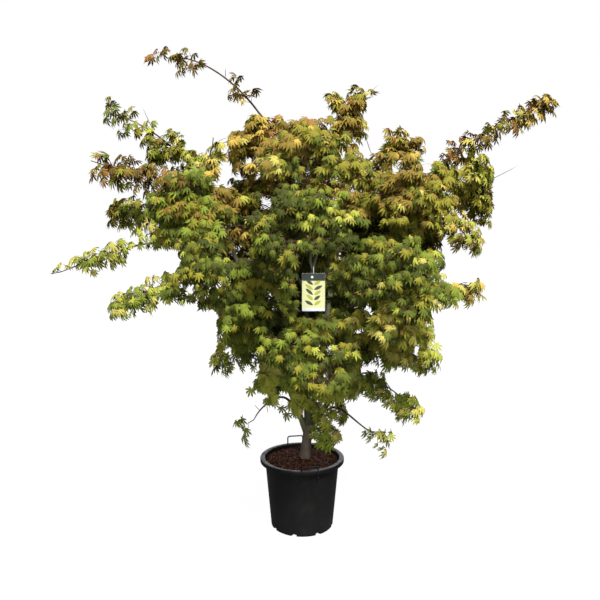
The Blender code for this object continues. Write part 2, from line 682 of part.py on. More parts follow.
class Foliage:
    """Grows one mass: side twigs in crossed pairs along a stem, each with one to three leaves."""

    def __init__(self, index, row, path, radii, start_heading, solids, space):
        self.index, self.row, self.path, self.radii = index, row, path, radii
        self.solids, self.space = solids, space
        self.rng = np.random.default_rng(SEED + 17 * index)
        self.wood = [tube(path, radii, 3, (start_heading, None))]
        self.leaves = []

    def allowed(self, shape):
        points, faces = shape
        if not self.space.holds(self.index, np.array(points, float)):
            return False
        return self.solids.hits(grown_out(points, CLEARANCE), faces, skip=self.row.name) is None

    def meets_own(self, shape, host):
        """Whether a leaf would cross this mass's other leaves or other twigs."""
        others = self.leaves + [piece for piece in self.wood if piece is not host]
        one = np.array(shape[0], float)
        mine = None
        for other in others:
            two = np.array(other[0], float)
            if (one.min(0) > two.max(0)).any() or (one.max(0) < two.min(0)).any():
                continue
            mine = mine or BVHTree.FromPolygons([tuple(p) for p in shape[0]], shape[1])
            if mine.overlap(BVHTree.FromPolygons([tuple(p) for p in other[0]], other[1])):
                return True
        return False

    def grow_leaf(self, spot, aim, host, swing=0.36):
        """Tries a few ways of hanging one leaf from a spot, and keeps the first that fits."""
        for _try in range(LEAF_TRIES):
            lean = Vector(self.rng.normal(0.0, swing, 3)) + Vector((0, 0, -LEAF_DROOP))
            axis = (aim + lean).normalized()
            face = Vector(self.rng.normal(0.0, 0.8, 3))
            face.z = abs(face.z) + 0.30
            normal = (face - axis * face.dot(axis)).normalized()
            blade = self.row.blade * self.rng.uniform(0.90, 1.10)
            shape = leaf_shape(spot - axis * LEAF_SUNK, axis, normal, blade)
            if self.allowed(shape) and not self.meets_own(shape, host):
                self.leaves.append(shape)
                return True
        return False

    def on_stem(self, share):
        spot = share * (len(self.path) - 1)
        i = min(int(spot), len(self.path) - 2)
        return self.path[i].lerp(self.path[i + 1], spot - i), (self.path[i + 1] - self.path[i]).normalized()

    def grow_twig(self, share, turn, leaves):
        """One side twig from the stem, with leaves along it by turns and one at its end."""
        base, along = self.on_stem(share)
        side, other = ring_frame(along)
        out = math.cos(turn) * side + math.sin(turn) * other
        aim = (out + 0.45 * along + Vector((0, 0, -0.05))).normalized()
        room = self.row.spread * float(spread_share(np.array(share))) - 0.30 * self.row.blade
        for shorter in (1.0, 0.75):
            end = base + aim * max(0.06, room * self.rng.uniform(0.85, 1.0)) * shorter
            twig = tube([base, end], (TWIG_RADIUS, TWIG_END), 3)
            if self.allowed(twig) and not self.meets_own(twig, self.wood[0]):
                break
        else:
            return
        before = len(self.leaves)
        self.grow_leaf(end - aim * 0.004, aim, twig)
        across = ring_frame(aim)[0]
        for k in range(leaves - 1):
            spot = base.lerp(end, 0.86 - 0.58 * k / max(1, leaves - 2))
            self.grow_leaf(spot, (0.55 * aim + (-1) ** k * across).normalized(), twig)
        if len(self.leaves) > before:
            self.wood.append(twig)

    def grow_on_stem(self, share, turn):
        """One leaf straight from the stem."""
        base, along = self.on_stem(share)
        side, other = ring_frame(along)
        out = math.cos(turn) * side + math.sin(turn) * other
        self.grow_leaf(base, (out + 0.6 * along).normalized(), self.wood[0])

    def grow(self):
        row = self.row
        tip = self.path[-1]
        aim = (tip - self.path[-2]).normalized()
        self.grow_leaf(tip - aim * 0.004, aim, self.wood[0], 0.10)
        twigs, per_twig = TWIGS_WIDE if row.spread >= WIDE else TWIGS_MIDDLE
        if row.spread < NARROW:
            twigs = 0
        for k in range(twigs):
            share = row.bare + (0.90 - row.bare) * (k // 2 * 2 + 1) / max(2, twigs)
            turn = (k // 2 % 2) * math.pi / 2 + math.pi * (k % 2) + self.rng.normal(0.0, 0.3)
            self.grow_twig(share, turn, per_twig)
        for _more in range(6 * row.leaves):
            if len(self.leaves) >= row.leaves:
                break
            self.grow_on_stem(self.rng.uniform(row.bare, 0.98), self.rng.uniform(0, 2 * math.pi))
        for shape in self.wood[1:] + self.leaves:
            self.solids.add(row.name, *shape)

    def fuse(self):
        """Joins stem, twigs and leaves into one closed body, without a leaf that spoils it."""
        while self.leaves:
            obj = add_mesh(self.row.name, *self.wood[0], "maple_foliage")
            parts = [add_mesh("piece", *shape, "maple_foliage") for shape in self.wood[1:] + self.leaves]
            boolean(obj, "UNION", parts, SOLVER)
            keep_outer_body(obj)
            spots = open_spots(obj.data)
            if not spots:
                simplify(obj)
                return obj
            remove_object(obj)
            self.leaves.remove(min(self.leaves, key=lambda leaf: (middle_of(leaf[0]) - spots[0]).length))
        raise ValueError(f"{self.row.name} has no leaves left")


def add_object_to(solids, obj):
    mesh = obj.data
    points = [obj.matrix_world @ v.co for v in mesh.vertices]
    solids.add(obj.name, points, [tuple(p.vertices) for p in mesh.polygons])


def make_masses(grown, solids):
    """Lays out every mass's stem first, then fills the spaces with twigs and leaves."""
    plans = []
    for row in MASSES:
        start, heading, _base = socket(grown[row.limb], row.at, row.tip, STEM_RADIUS)
        start = start + heading * GAP
        reach = Vector(row.tip) - start
        tip = Vector(row.tip) - reach.normalized() * (0.90 * row.blade)
        path = bowed_path(start, heading, tip, row.arch, STEM_STEPS)
        radii = [STEM_RADIUS + (STEM_END - STEM_RADIUS) * i / STEM_STEPS for i in range(STEM_STEPS + 1)]
        plans.append((row, path, radii, heading))
    space = Space([plan[1] + [Vector(plan[0].tip)] for plan in plans], [plan[0].spread for plan in plans])
    masses = [
        Foliage(i, row, path, radii, heading, solids, space)
        for i, (row, path, radii, heading) in enumerate(plans)
    ]
    for mass in masses:
        met = solids.hits(*mass.wood[0])
        if met:
            raise ValueError(f"the stem of {mass.row.name} meets {met}")
        solids.add(mass.row.name, *mass.wood[0])
    for mass in masses:
        mass.grow()
    return [mass.fuse() for mass in masses]


# ---------------------------------------------------------------- assembly
def main():
    clear_scene()
    make_pot()
    make_soil()
    make_handle("handle_back", HANDLE_BACK_TURN, HANDLE_RAISED)
    make_handle("handle_front", HANDLE_BACK_TURN + math.pi, HANDLE_LOWERED)
    grown = {}
    make_trunk(grown)
    for row in LIMBS:
        make_limb(row, grown)
    make_label(grown["bough_front_top"], TAG_SHARE)
    bpy.context.view_layer.update()
    solids = Solids()
    for obj in bpy.context.scene.objects:
        add_object_to(solids, obj)
    make_masses(grown, solids)


main()
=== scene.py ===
"""A potted Japanese maple dressed on its packed solids, laid out as a Blender add-on.

The limbs and the foliage follow the same two tables and the same growing rule as the solids,
carried to finer twigs, real leaf shapes and bark relief. Everything is in metres, +Z up.
"""

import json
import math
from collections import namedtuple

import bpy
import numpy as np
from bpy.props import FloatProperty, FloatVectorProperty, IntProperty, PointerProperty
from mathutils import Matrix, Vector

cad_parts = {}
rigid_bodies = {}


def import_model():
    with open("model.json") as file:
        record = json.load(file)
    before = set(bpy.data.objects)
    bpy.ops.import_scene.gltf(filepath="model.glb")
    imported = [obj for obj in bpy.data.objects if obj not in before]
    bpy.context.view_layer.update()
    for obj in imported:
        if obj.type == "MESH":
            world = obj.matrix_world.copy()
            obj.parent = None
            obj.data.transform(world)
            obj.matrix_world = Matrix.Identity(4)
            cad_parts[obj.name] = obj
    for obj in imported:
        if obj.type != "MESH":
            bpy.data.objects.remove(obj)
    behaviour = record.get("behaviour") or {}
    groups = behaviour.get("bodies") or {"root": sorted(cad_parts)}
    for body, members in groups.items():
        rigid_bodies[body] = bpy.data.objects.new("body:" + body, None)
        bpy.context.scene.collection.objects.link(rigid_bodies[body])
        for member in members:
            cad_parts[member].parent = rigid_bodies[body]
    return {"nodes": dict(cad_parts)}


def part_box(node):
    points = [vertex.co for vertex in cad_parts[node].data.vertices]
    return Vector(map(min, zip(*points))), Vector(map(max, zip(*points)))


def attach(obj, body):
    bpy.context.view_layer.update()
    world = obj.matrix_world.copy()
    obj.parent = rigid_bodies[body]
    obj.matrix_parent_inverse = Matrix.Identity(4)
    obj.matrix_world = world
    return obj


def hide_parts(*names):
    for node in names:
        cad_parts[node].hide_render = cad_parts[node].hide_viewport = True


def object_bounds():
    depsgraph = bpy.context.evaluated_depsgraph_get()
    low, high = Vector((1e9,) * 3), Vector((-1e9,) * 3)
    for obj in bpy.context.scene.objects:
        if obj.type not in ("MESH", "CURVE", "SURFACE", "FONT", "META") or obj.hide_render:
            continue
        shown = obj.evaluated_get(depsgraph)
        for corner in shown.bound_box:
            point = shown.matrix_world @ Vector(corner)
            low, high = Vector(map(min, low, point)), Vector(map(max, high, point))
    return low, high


bl_info = {
    "name": "Potted Japanese Maple",
    "version": (1, 0, 0),
    "blender": (4, 5, 0),
    "location": "View3D > Sidebar > Maple",
    "description": "Builds a potted maple: pot, mulch, handles, label, bark, twigs and leaves",
    "category": "Object",
}

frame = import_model()
CAD_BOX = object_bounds()
CAD_NODES = set(frame["nodes"])

PLANT = "plant"
UP = np.array((0.0, 0.0, 1.0))

# ---------------------------------------------------------------- growing rule
# A limb leaves its parent at a share of its length, for a tip, with a radius at its foot.
Limb = namedtuple("Limb", "name parent at tip radius")
LIMBS = (
    Limb("stem_middle", "trunk", 1.00, (0.20, 0.02, 1.62), 0.0180),
    Limb("stem_left", "trunk", 0.44, (-0.35, -0.04, 1.50), 0.0165),
    Limb("stem_right", "trunk", 0.52, (0.53, 0.03, 1.44), 0.0165),
    Limb("stem_front", "trunk", 0.60, (0.02, -0.42, 1.30), 0.0150),
    Limb("stem_back", "trunk", 0.36, (0.03, 0.46, 1.40), 0.0150),
    Limb("bough_left_top", "stem_left", 1.00, (-0.57, 0.16, 1.94), 0.0100),
    Limb("bough_left_out", "stem_left", 0.70, (-0.67, -0.08, 1.62), 0.0110),
    Limb("bough_left_low", "stem_left", 0.42, (-0.47, -0.18, 1.33), 0.0105),
    Limb("bough_top_left", "stem_middle", 0.72, (-0.10, 0.12, 2.04), 0.0110),
    Limb("bough_top_right", "stem_middle", 1.00, (0.24, 0.02, 2.04), 0.0108),
    Limb("bough_right_top", "stem_right", 1.00, (0.73, 0.16, 1.93), 0.0100),
    Limb("bough_right_low", "stem_right", 0.55, (0.60, -0.20, 1.26), 0.0105),
    Limb("bough_front_top", "stem_front", 1.00, (0.09, -0.62, 1.66), 0.0092),
    Limb("bough_back_top", "stem_back", 1.00, (0.02, 0.58, 1.82), 0.0092),
)

# A mass of leaves grows from a limb in the same way. Its leaves stay within the spread of its stem,
# which bows by arch and is bare up to a share of its length; blade is how long the solid's leaves are.
# What the solids don't have: hues names the mix of tints that its sprays are dealt; lift and shift
# move its stem up, because leaves hang, and to the right; stem_arch is the arch of the fine stem;
# closer scales the distance between its twigs; tufts are the shares of a long thin shoot where its
# only leaves sit, but for a foot that may be leafy up to a share.
Mass = namedtuple(
    "Mass",
    "name limb at tip spread blade arch bare hues lift shift stem_arch closer tufts leafy",
    defaults=(0.08, 0.12, "olive", 0.035, 0.0, None, 1.0, (), 0.0),
)
MASSES = (
    Mass("leaves_arching_shoot", "bough_top_left", 1.00, (-0.85, 0.10, 2.66),
         0.16, 0.14, 0.17, 0.56, "bronze",
         lift=0.07, tufts=(0.27, 0.36, 0.42, 0.47, 0.72, 0.78, 0.84, 0.985)),
    Mass("leaves_top_left", "bough_top_left", 0.82, (-0.40, 0.12, 2.34), 0.28, 0.19, hues="copper",
         lift=-0.03),
    Mass("leaves_top_middle", "bough_top_left", 0.60, (0.02, -0.22, 2.28), 0.27, 0.19, hues="bronze",
         lift=-0.02),
    Mass("leaves_peak", "bough_top_right", 1.00, (0.32, 0.04, 2.51), 0.20, 0.16, hues="copper",
         lift=0.022, shift=0.02, closer=0.75),
    Mass("leaves_top_right", "bough_top_right", 0.66, (0.71, 0.24, 2.27), 0.20, 0.16, hues="copper",
         lift=-0.005),
    Mass("leaves_right_long", "bough_right_top", 1.00, (1.46, 0.12, 2.45),
         0.16, 0.15, 0.04, 0.06, "ember", lift=0.025),
    Mass("leaves_right_edge", "bough_right_top", 0.78, (1.23, 0.36, 1.97), 0.27, 0.18, hues="pale",
         lift=0.005),
    Mass("leaves_right_droop", "bough_right_top", 0.44, (0.96, -0.30, 1.50),
         0.17, 0.16, 0.16, 0.08, "pale", lift=0.09, closer=0.70),
    Mass("leaves_right_middle", "bough_right_top", 0.60, (0.52, -0.40, 1.90), 0.33, 0.21, hues="amber",
         closer=0.85),
    Mass("leaves_right_low", "bough_right_low", 1.00, (0.97, -0.30, 1.45), 0.17, 0.16, hues="pale",
         lift=0.012, closer=0.50),
    Mass("leaves_gold_right", "bough_right_low", 0.70, (0.48, -0.46, 1.10), 0.27, 0.19, hues="olive",
         lift=0.045, closer=0.65),
    Mass("leaves_low_right", "stem_right", 0.40, (0.86, 0.22, 0.88), 0.18, 0.17, hues="fresh",
         lift=0.03, closer=0.70),
    Mass("leaves_spray_right", "stem_right", 0.18, (0.69, -0.20, 0.59), 0.15, 0.14, 0.14, 0.06, "fresh",
         lift=0.105, closer=0.50),
    Mass("leaves_trunk_right", "stem_right", 0.07, (0.50, -0.20, 0.44), 0.15, 0.14, 0.06, 0.10, "fresh",
         lift=0.08, stem_arch=-0.04, tufts=(0.08, 0.17, 0.26, 0.58, 0.67, 0.76, 0.86, 0.97)),
    Mass("leaves_trunk_skirt", "stem_front", 0.06, (0.14, -0.24, 0.44), 0.15, 0.14, hues="lime",
         lift=0.06, shift=0.035, closer=0.75),
    Mass("leaves_left_upper", "bough_left_top", 1.00, (-1.19, 0.26, 2.46), 0.20, 0.17, hues="olive",
         lift=-0.004, leafy=0.44, tufts=(0.40, 0.47, 0.54, 0.61, 0.72, 0.82, 0.91, 0.985)),
    Mass("leaves_left_gold", "bough_left_top", 0.84, (-0.45, -0.22, 2.18), 0.22, 0.17, hues="gold"),
    Mass("leaves_left_bronze", "bough_left_top", 0.58, (-1.17, -0.20, 2.00),
         0.18, 0.16, 0.02, hues="russet", lift=0.07, closer=0.62, leafy=0.88, tufts=(0.86, 0.95)),
    Mass("leaves_left_green", "bough_left_out", 0.84, (-1.22, 0.32, 1.81), 0.18, 0.17, hues="olive",
         lift=0.04, closer=0.65),
    Mass("leaves_left_long", "bough_left_out", 1.00, (-1.45, -0.08, 1.50),
         0.15, 0.14, 0.03, 0.04, "fresh", lift=-0.058, closer=0.75),
    Mass("leaves_left_middle", "bough_left_out", 0.62, (-0.60, -0.42, 1.88), 0.32, 0.21, hues="moss"),
    Mass("leaves_left_branch", "bough_left_low", 1.00, (-1.06, -0.26, 1.26),
         0.16, 0.15, 0.06, hues="fresh", lift=0.04, closer=0.70),
    Mass("leaves_left_low", "bough_left_low", 0.66, (-0.38, -0.42, 1.12), 0.28, 0.19, hues="green",
         lift=0.05, closer=0.80),
    Mass("leaves_left_foot", "stem_left", 0.30, (-0.60, 0.20, 0.91), 0.17, 0.16, hues="fresh"),
    Mass("leaves_left_twig", "stem_left", 0.13, (-0.37, -0.10, 0.56), 0.14, 0.13, 0.12, 0.20, "fresh",
         lift=0.022, tufts=(0.92, 0.985)),
    Mass("leaves_hanging", "stem_front", 0.17, (-0.11, -0.24, 0.57), 0.14, 0.14, hues="lime",
         lift=0.115, shift=0.02, closer=0.65),
    Mass("leaves_front_foot_left", "stem_front", 0.40, (-0.26, -0.44, 0.90), 0.20, 0.18, hues="fresh",
         lift=0.01, closer=0.85),
    Mass("leaves_front_foot_right", "stem_front", 0.32, (0.34, -0.38, 0.83), 0.20, 0.18, hues="fresh",
         lift=0.10, closer=0.65),
    Mass("leaves_front_low", "stem_front", 0.80, (0.02, -0.86, 1.12), 0.32, 0.22, hues="shade",
         closer=1.10),
    Mass("leaves_front_middle", "bough_front_top", 0.84, (-0.05, -1.06, 1.68), 0.36, 0.23, hues="dusk_shade",
         closer=1.25),
    Mass("leaves_front_top", "bough_front_top", 1.00, (0.00, -0.46, 2.10), 0.34, 0.22, hues="amber",
         closer=0.90),
    Mass("leaves_front_left", "stem_front", 0.66, (-0.50, -0.84, 1.58), 0.36, 0.22, 0.08, 0.30, "shade",
         closer=1.25),
    Mass("leaves_front_right", "stem_front", 0.52, (0.54, -0.84, 1.52), 0.36, 0.22, 0.08, 0.30, "dusk_shade",
         closer=1.20),
    Mass("leaves_inner_left", "stem_back", 0.90, (-0.38, 0.20, 1.80), 0.34, 0.21, hues="amber",
         lift=0.19, closer=0.95),
    Mass("leaves_inner_right", "stem_right", 0.80, (0.34, 0.36, 1.66), 0.33, 0.21, hues="shade",
         lift=0.20, closer=0.55),
    Mass("leaves_back_top", "bough_back_top", 1.00, (0.05, 0.50, 2.20), 0.38, 0.23, hues="bronze",
         closer=1.10),
    Mass("leaves_back_middle", "bough_back_top", 0.45, (0.00, 1.16, 1.66), 0.38, 0.23, hues="olive",
         lift=-0.06, closer=1.15),
    Mass("leaves_back_left", "stem_back", 0.78, (-0.80, 0.78, 1.84),
         0.40, 0.23, hues="amber", closer=1.15),
    Mass("leaves_back_right", "stem_back", 0.62, (0.84, 0.76, 1.80),
         0.40, 0.23, hues="moss", closer=1.15),
    Mass("leaves_back_low", "stem_back", 0.44, (0.02, 0.66, 0.98), 0.34, 0.22, hues="shade",
         lift=0.16, closer=0.60),
)
# Leafy side shoots of the inner boughs, without solids: they close the crown between the masses.
INNER_SHOOTS = (
    Mass("inner_heart", "stem_middle", 0.84, (-0.14, -0.18, 1.58), 0.28, 0.19, hues="shade"),
    Mass("inner_heart_back", "stem_back", 0.66, (0.16, 0.10, 1.32), 0.26, 0.18, hues="shade"),
    Mass("inner_low_left", "stem_left", 0.52, (-0.26, 0.14, 1.16), 0.24, 0.18, hues="shade"),
    Mass("inner_low_right", "stem_right", 0.46, (0.34, 0.14, 1.10), 0.24, 0.18, hues="shade"),
    Mass("inner_high_right", "bough_top_right", 0.30, (0.44, -0.06, 1.93), 0.22, 0.17, hues="amber"),
    Mass("inner_front_high", "bough_front_top", 0.52, (0.02, -0.66, 1.84), 0.24, 0.18, hues="dusk_shade"),
    Mass("front_gold", "bough_right_low", 0.80, (0.345, -0.93, 1.30), 0.18, 0.15, 0.05, 0.30, "gold"),
    Mass("inner_front_left", "bough_front_top", 0.20, (-0.34, -0.54, 1.58), 0.26, 0.18, hues="shade"),
    Mass("inner_front_right", "bough_front_top", 0.12, (0.36, -0.50, 1.50), 0.26, 0.18, hues="shade"),
)
# Twigs without leaves that stick out of a mass: share of its stem, direction and length.
BARE_TWIGS = (
    ("leaves_right_edge", 0.80, (0.75, -0.10, 0.28), 0.27),
    ("leaves_left_upper", 0.60, (-0.42, -0.25, 0.90), 0.15),
    ("leaves_peak", 0.80, (0.80, -0.10, 0.55), 0.17),
    ("leaves_top_right", 0.45, (-0.35, -0.10, 0.90), 0.20),
    ("leaves_left_twig", 0.55, (0.15, -0.30, -0.90), 0.06),
    ("leaves_left_twig", 0.72, (-0.55, -0.20, 0.60), 0.05),
    ("leaves_arching_shoot", 0.55, (0.05, -0.20, 0.95), 0.05),
    ("leaves_trunk_right", 0.20, (0.80, -0.10, 0.35), 0.09),
)

# The tints that each hue deals to its sprays, and how often. The two darkest mixes, dealt to the masses at
# the front middle and inside of the crown, paint the shade there, beside the greener colour of leaves grown
# in less sun.
HUES = {
    "copper": dict(bronze=6, gold=3, olive=5, straw=2, copper=1),
    "russet": dict(umber=7, bronze=4, olive=4, copper=2, mid_green=1),
    "ember": dict(bronze=6, gold=3, olive=5, straw=2, copper=2, scarlet=0.6),
    "bronze": dict(bronze=6, olive=5, gold=1, umber=2, straw=0.5, copper=1),
    "amber": dict(olive=6, bronze=4, mid_green=2, gold=2, straw=1, umber=1),
    "gold": dict(gold=6, straw=6, lime=3, olive=1),
    "pale": dict(straw=4, lime=4, olive=3, gold=2, bronze=1),
    "olive": dict(olive=5, lime=3, leaf_green=3, straw=2, bronze=1),
    "moss": dict(olive=5, mid_green=3, leaf_green=4, bronze=3, lime=1, umber=1),
    # painted shade: darker greens for the front middle of the crown
    "dusk_shade": dict(mid_green=6, olive=4, deep_green=4, leaf_green=2, lime=1, straw=1),
    # painted shade: darker greens for the front and the inside of the crown
    "shade": dict(mid_green=6, deep_green=5, olive=4, leaf_green=3, lime=1),
    "green": dict(leaf_green=5, mid_green=4, olive=2, lime=2),
    "fresh": dict(leaf_green=4, lime=5, mid_green=1, straw=2),
    "lime": dict(lime=6, straw=2, leaf_green=2),
}
TINTS = {
    "copper": (0.290, 0.140, 0.040),
    "bronze": (0.220, 0.150, 0.026),
    "umber": (0.115, 0.074, 0.014),
    "gold": (0.470, 0.330, 0.060),
    "straw": (0.430, 0.385, 0.085),
    "olive": (0.215, 0.198, 0.022),
    "lime": (0.350, 0.370, 0.050),
    "leaf_green": (0.170, 0.214, 0.024),
    "mid_green": (0.088, 0.112, 0.014),
    "deep_green": (0.040, 0.052, 0.008),
    "scarlet": (0.220, 0.030, 0.026),
}
# Inside the crown a leaf may be dealt the darker neighbour of its spray's tint: partly the greener colour
# of a leaf grown in less sun, partly painted shade.
SHADED = dict(
    copper="bronze", bronze="umber", umber="umber", scarlet="umber", gold="olive", straw="olive",
    olive="mid_green", lime="leaf_green", leaf_green="mid_green", mid_green="deep_green",
    deep_green="deep_green",
)

CAMERA_PLACE = (-0.012, -3.30, 1.615)
CAMERA_TILT = math.radians(5.42)
CAMERA_LENS = 35.34
KEY_TURN = (math.radians(37), math.radians(12), 0.0)
# The way back to the light, square to which the light falls: -Z turned by KEY_TURN, reversed.
TO_LIGHT = np.array((
    math.cos(KEY_TURN[0]) * math.sin(KEY_TURN[1]),
    -math.sin(KEY_TURN[0]),
    math.cos(KEY_TURN[0]) * math.cos(KEY_TURN[1]),
))

# Openings among the leaves, where they cross the plane Y = 0 on the camera's sight lines, the share
# of leaves left in them, and the Y in front of which they hold: for most, anywhere in the crown.
Opening = namedtuple("Opening", "left low right high share front", defaults=(0.0, 9.0))
OPENINGS = (
    Opening(-0.030, 1.205, 0.165, 1.540, 0.0, -0.48),  # the label
    Opening(-0.010, 0.400, 0.052, 0.640, 0.12, -0.02),  # the trunk
    Opening(0.100, 0.800, 0.200, 1.080, 0.65, -0.02),  # the stems above them
    Opening(-0.150, 0.700, -0.050, 0.757, 0.10),
    Opening(-0.110, 0.440, -0.020, 0.540),  # the raised handle
    Opening(-0.280, 0.470, -0.190, 0.680),  # sky beside the left foot
    Opening(0.262, 0.440, 0.340, 0.600),  # and the right foot
    Opening(0.340, 0.560, 0.480, 0.690, 0.15),
    Opening(0.540, 0.400, 0.900, 0.570),
    Opening(-0.760, 1.030, -0.475, 1.240),
    Opening(-0.600, 0.860, -0.520, 0.960, 0.12),
    Opening(-0.436, 0.990, -0.377, 1.020, 0.15),
    Opening(-0.980, 1.470, -0.690, 1.570),
    Opening(-1.500, 1.300, -1.200, 1.460, 0.10),
    Opening(-0.700, 1.345, -0.600, 1.382, 0.20),
    Opening(-1.400, 1.700, -1.080, 1.830, 0.10),
    Opening(-0.655, 2.130, -0.500, 2.420),
    Opening(-0.500, 2.175, -0.400, 2.420),
    Opening(-0.430, 2.030, -0.395, 2.180, 0.15),
    Opening(-0.460, 1.950, -0.400, 2.050),
    Opening(-0.400, 2.235, -0.305, 2.360),
    Opening(-0.330, 2.318, -0.130, 2.370, 0.15),
    Opening(-0.242, 1.812, -0.165, 1.866),
    Opening(-0.060, 2.310, 0.100, 2.400, 0.20),  # beside the peak
    Opening(0.340, 2.285, 0.470, 2.410),
    Opening(0.015, 1.995, 0.060, 2.090, 0.20),
    Opening(0.200, 2.080, 0.245, 2.165, 0.20),
    Opening(0.372, 2.120, 0.455, 2.330, 0.10),
    Opening(-0.440, 1.520, -0.280, 1.700, 0.25, -0.22),
    Opening(-0.160, 1.030, 0.000, 1.250, 0.70, -0.50),
    Opening(-0.325, 0.800, -0.262, 0.885, 0.20),
    Opening(0.475, 2.000, 0.555, 2.050, 0.20),
    Opening(0.665, 2.000, 0.720, 2.120, 0.20),
    Opening(0.800, 1.400, 0.955, 1.580, 0.10),
    Opening(0.775, 1.100, 0.860, 1.170, 0.15),
    Opening(0.625, 0.990, 0.670, 1.030, 0.15),
    Opening(0.500, 0.775, 0.660, 0.850, 0.20),
    Opening(1.055, 1.560, 1.400, 2.060),  # beyond the right edge
)

TAG_LOW, TAG_HIGH = (np.array(corner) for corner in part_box("label_tag"))
TAG_HEIGHT = 0.178
TAG_WIDTH = 0.108
TAG_THICKNESS = 0.0016
LABEL_MIDDLE = np.array(((TAG_LOW[0] + TAG_HIGH[0]) / 2, TAG_LOW[1], TAG_LOW[2] + 0.5 * TAG_HEIGHT))
LABEL_CLEAR = 0.105  # no leaves this near the line from the label to the light


# ---------------------------------------------------------------- settings
def colour_property(name, text, value):
    return FloatVectorProperty(
        name=name, description=text, subtype="COLOR", size=3, min=0, max=1, default=value
    )


def length_property(name, text, value):
    return FloatProperty(name=name, description=text, unit="LENGTH", default=value)


def strength_property(name, text, value):
    return FloatProperty(name=name, description=text, min=0, default=value)


class MaplePotSettings(bpy.types.PropertyGroup):
    """Sizes and colour of the pot and its handles."""

    height: length_property("Height", "Pot height", 0.397)
    base_radius: length_property("Base", "Radius at the foot", 0.178)
    neck_radius: length_property("Neck", "Wall radius at the rim", 0.214)
    rim_radius: length_property("Rim", "Outer radius of the rim", 0.241)
    colour: colour_property("Plastic", "Colour of the black recycled plastic", (0.0082, 0.0083, 0.0080))


class MapleMulchSettings(bpy.types.PropertyGroup):
    """The bark mulch on top of the soil."""

    chips: IntProperty(name="Chips", description="How many bark chips lie on the soil", default=2700)
    chip_length: length_property("Chip", "Longest chip", 0.026)
    colour: colour_property("Bark", "Middle colour of the mulch chips", (0.110, 0.034, 0.014))


class MapleBarkSettings(bpy.types.PropertyGroup):
    """The bark of trunk, boughs and twigs."""

    relief: length_property("Relief", "Height of the ridges", 0.0011)
    old_colour: colour_property("Old bark", "Grey-brown bark of the trunk", (0.170, 0.138, 0.105))
    young_colour: colour_property("Young bark", "Grey-green bark of the stems", (0.150, 0.155, 0.085))
    twig_colour: colour_property("Twigs", "Red-brown bark of the twigs", (0.090, 0.052, 0.036))
    stalk_colour: colour_property("Leaf stalks", "Reddish leaf stalks", (0.205, 0.072, 0.045))


class MapleLeafSettings(bpy.types.PropertyGroup):
    """How large the leaves are and how close together they grow."""

    length: length_property("Leaf", "Length of the middle lobe", 0.058)
    stalk: length_property("Stalk", "Length of a leaf stalk", 0.027)
    node_gap: length_property("Leaf pairs", "Distance between pairs", 0.034)
    twig_gap: length_property("Twig pairs", "Distance between pairs", 0.064)
    bend: FloatProperty(
        name="Bend", description="How far a leaf bends over", subtype="ANGLE", unit="ROTATION", default=1.25
    )
    seed: IntProperty(name="Seed", description="Another seed grows another set of twigs", default=41)


class MapleStudioSettings(bpy.types.PropertyGroup):
    """Floor and light."""

    floor_colour: colour_property("Floor", "Pale floor", (0.05, 0.05, 0.05))
    floor_glow: strength_property("Floor glow", "Light of the floor itself", 0.95)
    key: strength_property("Key light", "Strength of the soft key light", 6.0)
    front: strength_property("Front light", "Strength of the wide light from the front", 1.3)
    back: strength_property("Back light", "Strength of the wide light from behind", 2.0)
    fill: strength_property("Surroundings", "Strength of the white surroundings", 0.155)


SETTINGS = {
    "maple_pot": MaplePotSettings,
    "maple_mulch": MapleMulchSettings,
    "maple_bark": MapleBarkSettings,
    "maple_leaf": MapleLeafSettings,
    "maple_studio": MapleStudioSettings,
}


# ---------------------------------------------------------------- arrays and meshes
END_SHARE = 0.02  # of its radius, to which a tube's end ring shrinks to close the tube


def unit(vectors):
    """Vectors divided by their own length."""
    return vectors / np.maximum(np.linalg.norm(vectors, axis=-1, keepdims=True), 1e-12)


def square_to(vectors, along):
    """Vectors less their part along a direction, at length one."""
    return unit(vectors - along * (vectors * along).sum(-1, keepdims=True))


def turns(steps):
    """Even angles once round."""
    return 2 * np.pi * np.arange(steps) / steps


def rings(along, reference, sides):
    """A circle of unit vectors square to each direction, counted from near a reference."""
    side = square_to(np.broadcast_to(reference, along.shape), along)
    other = np.cross(along, side)
    turn = turns(sides)[:, None]
    return np.cos(turn) * side[..., None, :] + np.sin(turn) * other[..., None, :]


def grid_faces(rows, columns):
    """Quads between neighbours of a rows by columns grid whose last column meets its first."""
    row, column = np.meshgrid(np.arange(rows - 1), np.arange(columns), indexing="ij")
    near = row * columns + column
    far = row * columns + (column + 1) % columns
    return np.stack([near, far, far + columns, near + columns], axis=-1).reshape(-1, 4)


def joined(shapes):
    """Several shapes' points and faces as those of one."""
    points, faces, count = [], [], 0
    for some, corners in shapes:
        points.append(some)
        faces.append(corners + count)
        count += len(some)
    return np.concatenate(points), np.concatenate(faces)


def add_mesh(name, points, faces, material, uv=None, smooth=True):
    """A mesh object from whole arrays; faces all have the same number of corners."""
    mesh = bpy.data.meshes.new(name)
    mesh.vertices.add(len(points))
    mesh.vertices.foreach_set("co", points.astype(np.float32).ravel())
    mesh.loops.add(faces.size)
    mesh.loops.foreach_set("vertex_index", faces.astype(np.int32).ravel())
    mesh.polygons.add(len(faces))
    mesh.polygons.foreach_set("loop_start", np.arange(0, faces.size, faces.shape[1], dtype=np.int32))
    mesh.polygons.foreach_set("use_smooth", np.full(len(faces), smooth))
    mesh.materials.append(material)
    if uv is not None:
        layer = mesh.uv_layers.new(name="UVMap")
        layer.data.foreach_set("uv", uv[faces.ravel()].astype(np.float32).ravel())
    mesh.update(calc_edges=True)
    mesh.validate()
    obj = bpy.data.objects.new(name, mesh)
    bpy.context.scene.collection.objects.link(obj)
    return obj


def fit(obj, body, slot, *nodes):
    """Makes a piece ride on its body and stand for its solids, which it hides; slot is not used."""
    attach(obj, body)
    if nodes:
        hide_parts(*nodes)


